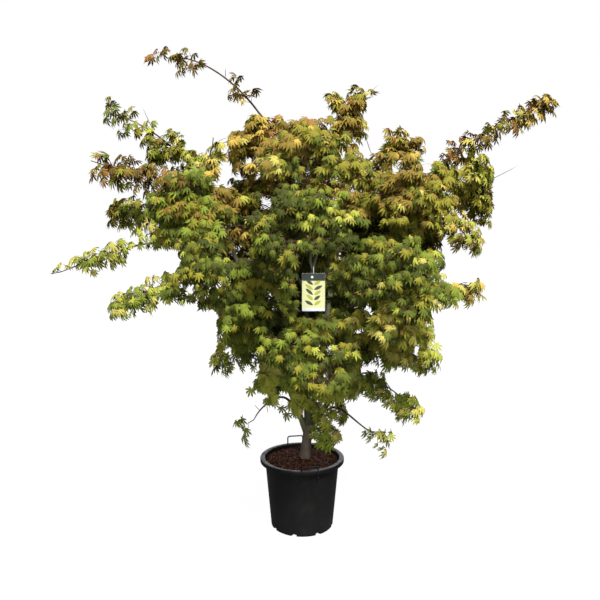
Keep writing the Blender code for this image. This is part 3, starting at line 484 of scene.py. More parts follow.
def closed_tube(points, ends):
    """Points (rings, sides, 3) with an end ring shrunk nearly to a point at each end, and the faces."""
    first = ends[0] + (points[:1] - ends[0]) * END_SHARE
    last = ends[1] + (points[-1:] - ends[1]) * END_SHARE
    whole = np.concatenate([first, points, last])
    return whole.reshape(-1, 3), grid_faces(len(whole), points.shape[1])


def tubes(paths, radii, sides, closed_ends=True):
    """Round tubes along paths (n, steps, 3): a ring square to each path point.

    The reference that the rings are counted from is the axis that a path runs least along.
    """
    along = unit(np.gradient(paths, axis=1))
    mean = np.abs(along).mean(axis=1)
    reference = np.eye(3)[mean.argmin(axis=1)][:, None, :]
    if closed_ends:
        radii = radii.copy()
        radii[:, (0, -1)] *= END_SHARE
    points = paths[:, :, None, :] + radii[:, :, None, None] * rings(along, reference, sides)
    count, steps = paths.shape[:2]
    faces = grid_faces(steps, sides) + (np.arange(count) * steps * sides)[:, None, None]
    return points.reshape(-1, 3), faces.reshape(-1, 4)


# ---------------------------------------------------------------- materials
MIDDLE_NOISE = (0.3, 0.7)  # most values of a noise texture lie between these


def scaled(colour, share):
    return tuple(min(1.0, channel * share) for channel in colour)


class Finish:
    """A material: constant values on the shader's sockets, and what is then linked to them."""

    def __init__(self, name, colour, roughness, specular=0.5):
        self.material = bpy.data.materials.new(name)
        self.material.use_nodes = True
        self.nodes, self.links = self.material.node_tree.nodes, self.material.node_tree.links
        self.inputs = self.nodes["Principled BSDF"].inputs
        self.inputs["Base Color"].default_value = (*colour, 1.0)
        self.inputs["Roughness"].default_value = roughness
        self.inputs["Specular IOR Level"].default_value = specular

    def noise(self, scale, detail=3.0, stretch=(1.0, 1.0, 1.0)):
        """A noise texture on the piece's own coordinates, stretched along an axis."""
        place = self.nodes.new("ShaderNodeTexCoord")
        mapping = self.nodes.new("ShaderNodeMapping")
        mapping.inputs["Scale"].default_value = stretch
        texture = self.nodes.new("ShaderNodeTexNoise")
        texture.inputs["Scale"].default_value = scale
        texture.inputs["Detail"].default_value = detail
        self.links.new(place.outputs["Object"], mapping.inputs["Vector"])
        self.links.new(mapping.outputs["Vector"], texture.inputs["Vector"])
        return texture.outputs["Fac"]

    def colour_by(self, value, stops):
        """Base colour from a value, through (position, colour) stops."""
        made = self.nodes.new("ShaderNodeValToRGB")
        elements = made.color_ramp.elements
        while len(elements) < len(stops):
            elements.new(0.5)
        for element, (position, colour) in zip(elements, stops):
            element.position = position
            element.color = (*colour, 1.0)
        self.links.new(value, made.inputs["Fac"])
        self.links.new(made.outputs["Color"], self.inputs["Base Color"])

    def roughness_by(self, value, low, high):
        """Roughness from a noise value, carried to the range low to high."""
        made = self.nodes.new("ShaderNodeMapRange")
        made.inputs["From Min"].default_value, made.inputs["From Max"].default_value = MIDDLE_NOISE
        made.inputs["To Min"].default_value = low
        made.inputs["To Max"].default_value = high
        self.links.new(value, made.inputs["Value"])
        self.links.new(made.outputs["Result"], self.inputs["Roughness"])

    def bump(self, height, strength, distance):
        """Bumps the shader's normal by a height value."""
        made = self.nodes.new("ShaderNodeBump")
        made.inputs["Strength"].default_value = strength
        made.inputs["Distance"].default_value = distance
        self.links.new(height, made.inputs["Height"])
        self.links.new(made.outputs["Normal"], self.inputs["Normal"])


def plastic_material(colour):
    """Black recycled plastic: faint cloudy scuffs, dusty patches and an orange-peel grain."""
    finish = Finish("black_recycled_plastic", colour, 0.45, 0.22)
    cloud = finish.noise(9.0, 5.0)
    finish.colour_by(cloud, ((0.30, scaled(colour, 0.8)), (0.58, colour), (0.78, scaled(colour, 1.7))))
    finish.roughness_by(finish.noise(34.0, 4.0), 0.38, 0.58)
    finish.bump(finish.noise(700.0, 2.0), 0.25, 0.0004)
    return finish.material


def bark_material(name, colour, dark, stretch, depth):
    """Bark: long streaks between a colour and a dark share of it, with fine cracks along the limb."""
    finish = Finish(name, colour, 0.8, 0.25)
    streaks = finish.noise(26.0, 6.0, stretch)
    stops = ((0.32, scaled(colour, dark)), (0.52, colour), (0.74, scaled(colour, 1.35)))
    finish.colour_by(streaks, stops)
    finish.roughness_by(streaks, 0.68, 0.9)
    finish.bump(finish.noise(240.0, 5.0, stretch), 0.6, depth)
    return finish.material


def leaf_material(name, colour):
    """One tint of leaf: plain colour, a midrib and side veins in relief, and a patchy sheen."""
    finish = Finish(name, colour, 0.50, 0.24)
    finish.inputs["Specular Tint"].default_value = (1.0, 0.95, 0.50, 1.0)
    place = finish.nodes.new("ShaderNodeUVMap")
    place.uv_map = "UVMap"
    veins = finish.nodes.new("ShaderNodeTexWave")
    veins.wave_type = "BANDS"
    veins.bands_direction = "DIAGONAL"
    veins.inputs["Scale"].default_value = 5.0
    finish.links.new(place.outputs["UV"], veins.inputs["Vector"])
    finish.bump(veins.outputs["Fac"], 0.35, 0.0006)
    finish.roughness_by(finish.noise(60.0, 2.0), 0.50, 0.72)
    return finish.material


# ---------------------------------------------------------------- pot
RIM_LIP = 0.022  # height of the rim's outer skirt
RIM_SKIRT = 0.0035  # and its thickness
RIM_BEND = 0.0055  # from the rim's outer face to where its underside is flat
RIM_ROUND = 0.005  # radius of the rim's top edge
POT_WALL = 0.003
POT_FOOT = 0.004  # radius of the edge between the floor and the wall
POT_BEVEL = 0.002  # of the edges under the rim
POT_INSIDE = 0.330  # the hollow is closed at this height, under the soil
POT_CENTRE = 0.002  # radius at which the turned discs end
NOTCHES = 8
NOTCH_PHASE = math.radians(-150)  # the first notch, from +X
NOTCH_RADIUS = 0.178  # at which its width is measured
NOTCH_HALF = 0.012
NOTCH_HEIGHT = 0.013
NOTCH_DEPTH = 0.020
NOTCH_ROUND = 0.004  # how far a notch's roof falls to its sides
NOTCH_EDGE = 0.0012  # over which a notch fades
NOTCH_FROM = 0.150  # the radius outside which the foot is pushed in
POT_STEPS = 216
POT_SHARP = math.radians(40)


def revolved(profile, steps, change):
    """A profile of (radius, height) rows turned about Z; change moves the points by angle."""
    turn = turns(steps)
    radius, height = (np.repeat(profile[:, k : k + 1], steps, axis=1) for k in (0, 1))
    radius, height = change(radius, height, turn[None, :])
    points = np.stack([radius * np.cos(turn), radius * np.sin(turn), height], axis=-1)
    return points.reshape(-1, 3), grid_faces(len(profile), steps)[:, ::-1]


def pot_profile(pot):
    """The pot's outline: under the floor, up the wall, round the lip of the rim and down inside."""
    base, rim, top = pot.base_radius, pot.rim_radius, pot.height
    slope = (pot.neck_radius - base) / top
    lip = top - RIM_LIP
    under = top - POT_WALL
    neck = base + slope * under
    wall = np.linspace(0.006, lip - 0.004, 40)
    heights = np.concatenate([np.linspace(0.0045, 0.0175, 10), wall[wall > 0.018]])
    edge = np.linspace(0, np.pi / 2, 6)
    rows = [(radius, 0.0) for radius in np.linspace(POT_CENTRE, base - 0.005, 12)]
    rows += [(base - POT_FOOT + POT_FOOT * math.sin(t), POT_FOOT - POT_FOOT * math.cos(t)) for t in edge]
    rows += [(base + slope * z, z) for z in heights]
    rows += [(neck, lip + 0.006), (neck, under - POT_BEVEL), (neck + POT_BEVEL, under)]
    rows += [(rim - RIM_BEND, under), (rim - RIM_SKIRT, under - POT_BEVEL)]
    rows += [(rim - RIM_SKIRT, lip + 0.001), (rim - 0.0030, lip), (rim - 0.0010, lip)]
    rows += [(rim - 0.0003, lip + 0.001), (rim, top - RIM_ROUND)]
    for t in edge[1:]:
        rows.append((rim - RIM_ROUND * (1 - math.cos(t)), top - RIM_ROUND + RIM_ROUND * math.sin(t)))
    inside = pot.neck_radius
    rows += [(inside + 0.003, top), (inside + 0.001, top - 0.0008), (inside - 0.0012, top - 0.004)]
    rows += [(base + slope * z - POT_WALL, z) for z in np.linspace(top - 0.012, POT_INSIDE, 6)]
    return np.array(rows + [(POT_CENTRE, POT_INSIDE)])


def drain_notches(radius, height, turn):
    """Pushes the foot of the wall in where a drain notch is, by a smooth window in angle and height."""
    spacing = 2 * np.pi / NOTCHES
    away = np.abs((turn - NOTCH_PHASE + spacing / 2) % spacing - spacing / 2) * NOTCH_RADIUS
    window = np.clip((NOTCH_HALF - away) / NOTCH_EDGE + 0.5, 0, 1)
    roof = NOTCH_HEIGHT - NOTCH_ROUND * (away / NOTCH_HALF) ** 4
    below = np.clip((roof - height) / NOTCH_EDGE + 0.5, 0, 1)
    pushed = window * below * (radius > NOTCH_FROM) * (height < 0.03)
    return radius - NOTCH_DEPTH * pushed * np.clip((radius - NOTCH_FROM) / NOTCH_DEPTH, 0, 1), height


def make_pot():
    pot = bpy.context.scene.maple_pot
    shape = revolved(pot_profile(pot), POT_STEPS, drain_notches)
    obj = add_mesh("nursery_pot", *shape, plastic_material(pot.colour))
    obj.data.set_sharp_from_angle(angle=POT_SHARP)
    fit(obj, PLANT, "black_plastic", "pot")


# ---------------------------------------------------------------- handles
HANDLE_WIDTH = 0.100
HANDLE_BAR = 0.0038
HANDLE_LEG = 0.062
HANDLE_CORNER = 0.012
HANDLE_STOP = 0.005  # height of the stop at a leg's foot
HANDLE_STOP_RADIUS = 0.0065
HANDLE_RING = 0.2265  # radius at which the handles stand
HANDLE_TURN = math.radians(100.5)
HANDLES = (("back", HANDLE_TURN, 0.442), ("front", HANDLE_TURN + math.pi, 0.416))


def handle_path(turn, height):
    """The middle line of a U bar: straight legs, quarter-circle corners and a straight grip."""
    half = HANDLE_WIDTH / 2 - HANDLE_BAR
    legs = np.linspace(-HANDLE_LEG, -HANDLE_CORNER, 8)
    corner = np.linspace(np.pi, np.pi / 2, 9)[1:]
    across = np.concatenate([np.full(len(legs), -half), -half + HANDLE_CORNER * (1 + np.cos(corner))])
    up = np.concatenate([legs, -HANDLE_CORNER * (1 - np.sin(corner))])
    flat = np.stack([across, up], axis=1)
    flat = np.concatenate([flat, flat[::-1] * (-1, 1)])
    middle = np.array((math.cos(turn), math.sin(turn), 0.0)) * HANDLE_RING
    along = np.array((-math.sin(turn), math.cos(turn), 0.0))
    return middle + flat[:, :1] * along + (flat[:, 1:] + height) * UP


def make_handles():
    material = plastic_material(scaled(bpy.context.scene.maple_pot.colour, 0.8))
    for name, turn, height in HANDLES:
        path = handle_path(turn, height)
        bar = tubes(path[None], np.full((1, len(path)), HANDLE_BAR), 14, False)
        rise = np.array((0.0, 0.08, 0.92, 1.0))[:, None] * (HANDLE_STOP * UP)
        stops = tubes(path[[0, -1], None] + rise, np.full((2, len(rise)), HANDLE_STOP_RADIUS), 14)
        obj = add_mesh(f"lifting_handle_{name}", *joined([bar, stops]), material)
        fit(obj, f"{name}_handle", "black_plastic", f"handle_{name}")


# ---------------------------------------------------------------- mulch
MULCH_EDGE = 0.374
MULCH_TOP = 0.388
MULCH_RADIUS = 0.2085
MULCH_RINGS = 44
MULCH_STEPS = 96
MULCH_SEED = 7
MULCH_ROUGH = 0.0012  # by which single points of the soil stand up or down
CHIP_SHARES = (("rust", 1.60), ("brown", 0.80), ("dark", 0.30))  # of the mulch's colour
CHIP_WIDTHS, CHIP_DEPTHS = (0.14, 0.40), (0.05, 0.13)  # ranges, as shares of the longest chip
CHIP_CORNERS = (0.55, 1.0)  # how far its corners are shaken in
CHIP_TILT = 0.34
CHIP_CLEAR = 0.004  # from the soil's edge


def mulch_height(radius, turn):
    """The soil's height: a low dome with waves a few millimetres high."""
    dome = MULCH_EDGE + (MULCH_TOP - MULCH_EDGE) * np.clip(1 - (radius / 0.205) ** 2.2, 0, 1)
    waves = 0.0014 * np.sin(5 * turn + 30 * radius) + 0.0012 * np.sin(11 * turn - 55 * radius)
    return dome + waves


def chip_shapes(count, length, rng):
    """Bark slivers: flat six-sided wedges whose corners are shaken, thrown down at random tilts."""
    box = np.array([(x, y, z) for x in (-1, 1) for y in (-1, 1) for z in (-1, 1)], float)
    size = np.stack(
        [
            rng.uniform(0.35, 1.0, count) ** 1.4 * length / 2,
            rng.uniform(*CHIP_WIDTHS, count) * length / 2,
            rng.uniform(*CHIP_DEPTHS, count) * length / 2,
        ],
        axis=1,
    )
    corners = box[None] * size[:, None] * rng.uniform(*CHIP_CORNERS, (count, 8, 3))
    radius = (MULCH_RADIUS - CHIP_CLEAR) * np.sqrt(rng.uniform(0.0, 1.0, count))
    turn = rng.uniform(0, 2 * np.pi, count)
    tilt = [rng.normal(0, CHIP_TILT, count) for _ in range(2)]
    facing = unit(np.stack([*tilt, np.ones(count)], axis=1))
    along = square_to(unit(rng.normal(0, 1, (count, 3))), facing)
    across = np.cross(facing, along)
    place = np.stack([radius * np.cos(turn), radius * np.sin(turn), mulch_height(radius, turn)], axis=1)
    place[:, 2] += rng.uniform(-0.001, 0.0036, count)
    points = corners[..., :1] * along[:, None] + corners[..., 1:2] * across[:, None]
    points += corners[..., 2:] * facing[:, None] + place[:, None]
    quads = np.array([(0, 1, 3, 2), (4, 6, 7, 5), (0, 4, 5, 1), (2, 3, 7, 6), (0, 2, 6, 4), (1, 5, 7, 3)])
    foot = np.linalg.norm(place[:, :2] - TRUNK_FOOT[:2], axis=1)
    return points[foot > TRUNK_RADIUS * 1.5], quads


def make_mulch():
    settings = bpy.context.scene.maple_mulch
    rng = np.random.default_rng(MULCH_SEED)
    turn = turns(MULCH_STEPS)[None]
    radius = np.linspace(MULCH_RADIUS, 0.001, MULCH_RINGS)[:, None] * np.ones_like(turn)
    height = mulch_height(radius, turn) + rng.uniform(-MULCH_ROUGH, MULCH_ROUGH, radius.shape)
    points = np.stack([radius * np.cos(turn), radius * np.sin(turn), height], axis=-1).reshape(-1, 3)
    soil = Finish("dark_potting_soil", scaled(settings.colour, 0.35), 0.95, 0.2)
    stops = ((0.35, (0.010, 0.006, 0.004)), (0.7, scaled(settings.colour, 0.6)))
    soil.colour_by(soil.noise(160.0, 6.0), stops)
    soil.bump(soil.noise(300.0, 5.0), 0.8, 0.002)
    obj = add_mesh("potting_soil", points, grid_faces(MULCH_RINGS, MULCH_STEPS), soil.material)
    fit(obj, PLANT, "bark_mulch", "bark_mulch")
    shapes, quads = chip_shapes(settings.chips, settings.chip_length, rng)
    for k, (name, share) in enumerate(CHIP_SHARES):
        material = bark_material(f"mulch_{name}", scaled(settings.colour, share), 0.5, (1, 1, 1), 0.001)
        shape = joined((corners, quads) for corners in shapes[k :: len(CHIP_SHARES)])
        fit(add_mesh(f"bark_chips_{name}", *shape, material, smooth=False), PLANT, "bark_mulch")


# ---------------------------------------------------------------- limbs
GAP = 0.0003  # between a limb's start and its parent's surface, as the solids have it
TRUNK_FOOT = np.array((0.018, 0.0, 0.3903))
TRUNK_TOP = np.array((0.062, 0.0, 0.700))
TRUNK_RADIUS = 0.028
TRUNK_FLARE = 1.28
TRUNK_STEPS = 7
TRUNK_BOW = 0.006
LIMB_TAPER = 0.62
LIMB_ARCH = 0.02
LIMB_SEED = 3
STEM_RADIUS = 0.0095
PATH_STEPS = 5  # of a limb and of a mass's stem, as in the solids
FINE_STEPS = 40  # of the same limb's bark
BARK_RIDGES = ((3, 9.0), (5, -14.0), (8, 22.0), (13, -31.0), (2, 55.0), (4, 90.0))  # count and drift
SCAR_WIDTH = 0.0035  # of the rings that old leaf pairs leave on a limb
SCAR_SWELL = 0.055
FOOT_LENGTH = 0.10  # of a trunk, over which its lobes fade


class Line:
    """A limb's middle line as the solids have it, with its radii and last direction."""

    def __init__(self, path, radii):
        self.path, self.radii, self.heading = path, radii, unit(path[-1] - path[-2])

    def place(self, share):
        """The point, direction and radius at a share of the line."""
        spot = share * (len(self.path) - 1)
        i = min(int(spot), len(self.path) - 2)
        part = spot - i
        point = self.path[i] * (1 - part) + self.path[i + 1] * part
        radius = self.radii[i] * (1 - part) + self.radii[i + 1] * part
        return point, unit(self.path[i + 1] - self.path[i]), radius


def bowed(start, heading, tip, arch, steps):
    """A cubic that leaves start along heading and bows above its chord by arch."""
    chord = tip - start
    reach = np.linalg.norm(chord)
    leave = 0.8 * (heading * reach + 2.0 * arch * UP)
    arrive = 0.8 * unit(chord - 4.0 * arch * UP) * reach
    t = np.linspace(0, 1, steps + 1)[:, None]
    return (
        (2 * t**3 - 3 * t**2 + 1) * start
        + (t**3 - 2 * t**2 + t) * leave
        + (3 * t**2 - 2 * t**3) * tip
        + (t**3 - t**2) * arrive
    )


def socket(line, share, tip, radius):
    """Where a child starts on its parent, its first direction, and the point inside the parent."""
    centre, along, around = line.place(share)
    if share >= 1.0:
        return line.path[-1], line.heading, line.path[-1] - line.heading * 0.01
    aim = unit(np.array(tip) - centre)
    aim = unit(aim + 0.35 * along + 0.10 * UP)
    across = square_to(aim, along)
    angle = max(math.acos(float(np.clip(aim @ along, -1, 1))), math.radians(30))
    aim = along * math.cos(angle) + across * math.sin(angle)
    length = (around + radius * max(0.0, math.cos(angle)) + 0.004) / math.sin(angle)
    return centre + aim * length, aim, centre


def grow_lines():
    """Every limb's line, from the trunk up, and for each the path its bark follows."""
    t = np.linspace(0, 1, TRUNK_STEPS + 1)
    path = TRUNK_FOOT + (TRUNK_TOP - TRUNK_FOOT) * t[:, None]
    path[:, 0] -= TRUNK_BOW * np.sin(np.pi * t)
    radii = TRUNK_RADIUS * (1 - 0.14 * t) * (1 + (TRUNK_FLARE - 1) * np.exp(-9 * t))
    lines = {"trunk": Line(path, radii)}
    barks = {}
    for row in LIMBS:
        start, heading, inside = socket(lines[row.parent], row.at, row.tip, row.radius)
        start = start + heading * GAP
        rule = (start, heading, np.array(row.tip), LIMB_ARCH)
        radii = row.radius * np.linspace(1, LIMB_TAPER, PATH_STEPS + 1)
        lines[row.name] = Line(bowed(*rule, PATH_STEPS), radii)
        barks[row.name] = (inside, start, bowed(*rule, FINE_STEPS), row.radius)
    return lines, barks


def resampled(path, values, spacing):
    """A path and its values read again at even steps along its length."""
    lengths = np.concatenate([[0], np.cumsum(np.linalg.norm(np.diff(path, axis=0), axis=1))])
    at = np.linspace(0, lengths[-1], max(8, int(lengths[-1] / spacing)))
    again = np.stack([np.interp(at, lengths, path[:, k]) for k in range(3)], axis=1)
    return again, np.interp(at, lengths, values), at


def bark_relief(at, turn, rng):
    """Ridges that run along the limb: cosines of whole multiples of the turn that drift with length."""
    total = np.zeros((len(at), len(turn)))
    for waves, pace in BARK_RIDGES:
        phase = rng.uniform(0, 2 * np.pi)
        total += np.cos(waves * turn[None] + pace * at[:, None] + phase) / len(BARK_RIDGES)
    return total


def barked(path, radii, sides, relief, rng, lobes=0.0, spacing=0.006):
    """A limb's closed surface: rings along its path, with ridges, leaf-scar rings and a lobed foot."""
    path, radii, at = resampled(path, radii, spacing)
    along = unit(np.gradient(path, axis=0))
    reference = np.eye(3)[np.abs(along.mean(axis=0)).argmin()]
    turn = turns(sides)
    rough = relief * bark_relief(at, turn, rng)
    scars = np.cumsum(rng.uniform(0.045, 0.085, 40))
    swell = np.exp(-(((at[:, None] - scars[None]) / SCAR_WIDTH) ** 2)).sum(axis=1)
    fade = np.clip(1 - at / FOOT_LENGTH, 0, 1)[:, None] ** 2
    radius = radii[:, None] * (1 + lobes * fade * np.cos(5 * turn[None])) + rough
    radius = radius + SCAR_SWELL * radii[:, None] * swell[:, None]
    points = path[:, None] + radius[..., None] * rings(along, reference, sides)
    return closed_tube(points, (path[0], path[-1]))


def make_limbs(lines, barks):
    settings = bpy.context.scene.maple_bark
    rng = np.random.default_rng(LIMB_SEED)
    old = bark_material("old_maple_bark", settings.old_colour, 0.55, (1, 1, 0.22), 0.0022)
    young = bark_material("young_maple_bark", settings.young_colour, 0.62, (1, 1, 0.3), 0.0012)
    trunk = lines["trunk"]
    shape = barked(trunk.path, trunk.radii, 40, settings.relief * 1.5, rng, lobes=0.10)
    fit(add_mesh("trunk_bark", *shape, old), PLANT, "maple_bark", "trunk")
    for name, (inside, start, path, radius) in barks.items():
        whole = np.concatenate([inside[None], (inside + start)[None] / 2, path])
        swell = radius * np.concatenate([[1.32, 1.18], np.linspace(1, LIMB_TAPER, len(path))])
        shape = barked(whole, swell, 22, settings.relief * 0.55, rng)
        fit(add_mesh(f"{name}_bark", *shape, young), PLANT, "maple_bark", name)
    return young


# ---------------------------------------------------------------- leaves
# A palmate leaf: the turn, length and half width of each lobe, from the middle one out.
LOBES = ((0, 1.00, 0.114), (31, 0.94, 0.108), (65, 0.76, 0.094), (106, 0.44, 0.072))
NOTCH_RADII = (0.24, 0.21, 0.15, 0.07)  # between neighbouring lobes, and behind the last
LAST_NOTCH = math.pi * 0.86  # the turn behind the last lobe
SHOULDER = 0.56  # where along a lobe it is widest
CURLED = (2, 3, 4)  # the three front lobes, counted from the outer right one
BEND_RANGE = (0.50, 1.40)  # of the usual bend, from leaf to leaf
LOBE_BEND = 0.16  # by which each lobe bends more than its inner neighbour
LOBE_CHANCE = 0.20
LEAST_BEND, MOST_BEND = 0.2, 2.2
EDGE_FOLD = 0.055  # how far a lobe's edges fall below its midrib


def leaf_template():
    """Outline points (x along, y across), faces, each point's lobe, and its place in the vein map.

    The three front lobes are six triangles about a midrib with a middle point, so that they curl;
    the outer four are two long triangles and two short ones about a straight midrib.
    """
    lobes = [(-math.radians(turn), length, half) for turn, length, half in LOBES[:0:-1]]
    lobes += [(math.radians(turn), length, half) for turn, length, half in LOBES]
    notches = [(lobes[i][0] + lobes[i + 1][0]) / 2 for i in range(len(lobes) - 1)]
    notches = [-LAST_NOTCH, *notches, LAST_NOTCH]
    points, faces, owner, veins = [(0.0, 0.0)], [], [-1], [(0.0, 0.0)]

    def add(turn, radius, offset, lobe, vein):
        x = radius * math.cos(turn) - offset * math.sin(turn)
        y = radius * math.sin(turn) + offset * math.cos(turn)
        points.append((x, y))
        owner.append(lobe)
        veins.append(vein)
        return len(points) - 1

    depths = NOTCH_RADII[::-1] + NOTCH_RADII
    edge = [add(turn, radius, 0.0, -1, (1.0, radius)) for turn, radius in zip(notches, depths)]
    for k, (turn, length, half) in enumerate(lobes):
        wide = SHOULDER * length
        right = add(turn, wide, -half, k, (1.0, wide))
        left = add(turn, wide, half, k, (1.0, wide))
        tip = add(turn, length, 0.0, k, (0.0, length))
        start, end = edge[k], edge[k + 1]
        if k in CURLED:
            middle = add(turn, wide, 0.0, k, (0.0, wide))
            faces += [(0, start, middle), (start, right, middle), (right, tip, middle)]
            faces += [(middle, tip, left), (middle, left, end), (0, middle, end)]
        else:
            faces += [(0, start, right), (0, right, tip), (0, tip, left), (0, left, end)]
    return np.array(points), np.array(faces), np.array(owner), np.array(veins)


def leaf_blades(leaves, bend, rng):
    """All the blades of one tint at once: the outline laid along each leaf's axis and side.

    A leaf droops like an open hand. A point at distance r from the stalk lies on an arc that turns
    by bend times r, so it keeps sin(bend r) / bend of its way out and falls (1 - cos(bend r)) / bend.
    Each lobe bends by its own share more, the outer ones most, and lobe edges fold down.
    """
    outline, faces, owner, veins = leaf_template()
    count, lobes = len(leaves["root"]), 2 * len(LOBES) - 1
    far = np.hypot(outline[:, 0], outline[:, 1])
    on_lobe = owner >= 0
    whole = bend * rng.uniform(*BEND_RANGE, (count, 1))
    more = rng.normal(0, LOBE_CHANCE, (count, lobes)) + LOBE_BEND * abs(np.arange(lobes) - lobes // 2)
    bent = np.clip(whole + more[:, owner] * on_lobe, LEAST_BEND, MOST_BEND)
    out = np.sinc(bent * far / np.pi)
    fall = (1 - np.cos(bent * far)) / bent + EDGE_FOLD * veins[:, 0] * on_lobe
    side = np.cross(leaves["normal"], leaves["axis"])
    points = leaves["root"][:, None] + leaves["size"][:, None, None] * (
        (out * outline[:, 0])[..., None] * leaves["axis"][:, None]
        + (out * outline[:, 1])[..., None] * side[:, None]
        - fall[..., None] * leaves["normal"][:, None]
    )
    many = faces[None] + (np.arange(count) * len(outline))[:, None, None]
    return points.reshape(-1, 3), many.reshape(-1, 3), np.tile(veins, (count, 1))


# ---------------------------------------------------------------- sprays
STEM_TIP = 0.075  # how far short of a mass's tip its stem ends, for the last leaves
STEM_STEPS = 24
TIP_BLADE = 0.90  # of its blade, by which the solid's stem stops short of its tip
TWIG_STEPS = 5
TWIG_SAG, BARE_SAG = 0.07, -0.10  # of its length, by which a twig falls at its end; a bare one rises
TWIG_BEND = 0.10  # to any side, by chance
TWIG_SHAKE = 0.10  # of its first direction
TWIG_TAPER, BARE_TAPER = 0.55, 0.5
TWIG_RADIUS, FORK_RADIUS, BARE_RADIUS = 0.0023, 0.0014, 0.0022
SHORTEST_TWIG = 0.030
LONG_TWIG = 0.11  # a twig longer than this may fork
FORKS = (0.34, 0.62, 0.84)  # at these shares of its length
FORK_ODDS = 0.94
FAN_REACH = (0.7, 1.6, 1.1)  # how far out the twigs of a stem's last fan lean, in turn
TIP_PAIRS = 3  # of leaves, from each twig's tip inwards
SHADE_STEP, STEM_SHADE = 0.25, 0.5  # the chance of a darker tint, painted shade: more for each pair, and on a stem
TWIG_LEAN, TWIG_LEAN_MORE, TWIG_RISE = 0.35, 0.5, 0.14  # forwards, more so at the tip, and up
TWIG_RANGE = (0.62, 1.06)  # of the room between a stem and the edge of its space
SLENDER, SLENDER_ROOM = 0.18, 0.75  # a mass of no more spread than this uses less of that room
FORK_AIM, FORK_SHAKE = 0.75, 0.26
FORK_RANGE = (0.50, 0.80)  # of its twig's length, the less so the further out it forks
TUFT_AIM, TUFT_SHAKE, TUFT_RANGE = 0.8, 0.15, (0.2, 0.42)  # its twigs' range is of the spread
STEM_END, FAN_AT = 0.96, 0.97  # the shares of a stem where its twigs end and its last fan grows
WIDE, WIDE_FAN, NARROW_FAN = 0.25, 9, 4  # a mass of more spread than this has more twigs in its fan
FIRST_LEAVES = 0.12  # no leaves nearer a twig's foot than this share
LEAF_FORWARDS, STEM_LEAF_FORWARDS = 0.55, 0.5
STALK_RANGE, STALK_SHAKE, STALK_RISE, STALK_SAG = (0.6, 1.4), 0.22, 0.05, 0.25
CROWN_HEART = np.array((0.03, 0.0, 1.25))  # leaves hang and face away from it
CROWN_FLATNESS = (1, 1, 0.35)
AXIS_STALK, AXIS_OUT, AXIS_DOWN, AXIS_SHAKE = 0.45, 0.38, 0.78, 0.24  # what a blade's axis follows
FACE_UP, FACE_OUT, FACE_FRONT, FACE_SHAKE = 0.80, 0.50, 0.45, 0.28  # and what its face turns to
FRONT_FADES = (-0.3, 0.5)  # the Y between which leaves cease to turn to the front
TOWARDS_FRONT = np.array((0.2, -1.0, 0.0))
SIZE_RANGE = (0.80, 1.16)
YOUNG_SIZE, YOUNG_FADES = 0.68, (-1.0, -0.1)  # of leaves at the front, and the Y between which they grow
TIP_OUT, TIP_DOWN = 0.75, 0.5  # where a bent leaf's tip is, in lengths along its axis and off its face
LEAF_REACH = 1.07  # leaves may pass the edge of a mass's space by this share
OTHER_TINT = 0.42  # the chance that a leaf is dealt a tint of its own
TWIG_MARGIN, LEAF_MARGIN = 0.03, 0.01  # past the box of the solids


def spread_share(along):
    """How the spread grows from a mass's root and closes a little at its tip, as in the solids."""
    return np.minimum(1.0, 0.45 + 1.6 * along) * (1.0 - 0.18 * along**4)


def polyline_at(path, share):
    """Points and directions at shares of a path."""
    spot = np.clip(share, 0, 0.9999) * (len(path) - 1)
    i = spot.astype(int)
    part = (spot - i)[:, None]
    return path[i] * (1 - part) + path[i + 1] * part, unit(path[i + 1] - path[i])


def in_box(points, margin):
    """Which points lie in the box of the solids, or less than a margin outside it."""
    low, high = (np.array(corner) for corner in CAD_BOX)
    return ((points > low - margin) & (points < high + margin)).all(axis=1)


def pair_frames(along, count, rng):
    """Opposite pairs turned by a right angle from node to node, as unit vectors square to along."""
    flat = square_to(np.broadcast_to(UP, along.shape) + 1e-3, along)
    side = np.cross(along, flat)
    k = np.arange(count)
    turn = np.pi * (k % 2) + (k // 2 % 2) * np.pi / 2 + rng.normal(0, 0.28, count)
    return np.cos(turn)[:, None] * side + np.sin(turn)[:, None] * flat


class Twigs(namedtuple("Twigs", "base aim length bend tint")):
    """Twigs side by side: the start, direction, length, sideways bend and tint of each."""

    def part(self, kept):
        return Twigs(*(values[kept] for values in self))

    def at(self, share, sag=TWIG_SAG):
        """Points at shares of each: straight along aim, with sag and bend by the share squared."""
        base, aim, length, bend = self[:4]
        if share.ndim == 2:
            base, aim, length, bend = (values[:, None] for values in (base, aim, length, bend))
        share = share[..., None]
        return base + length[..., None] * (aim * share - sag * UP * share**2 + bend * share**2)

    def level(self):
        """For each the level direction square to it."""
        return square_to(np.cross(self.aim, UP) + 1e-4, self.aim)


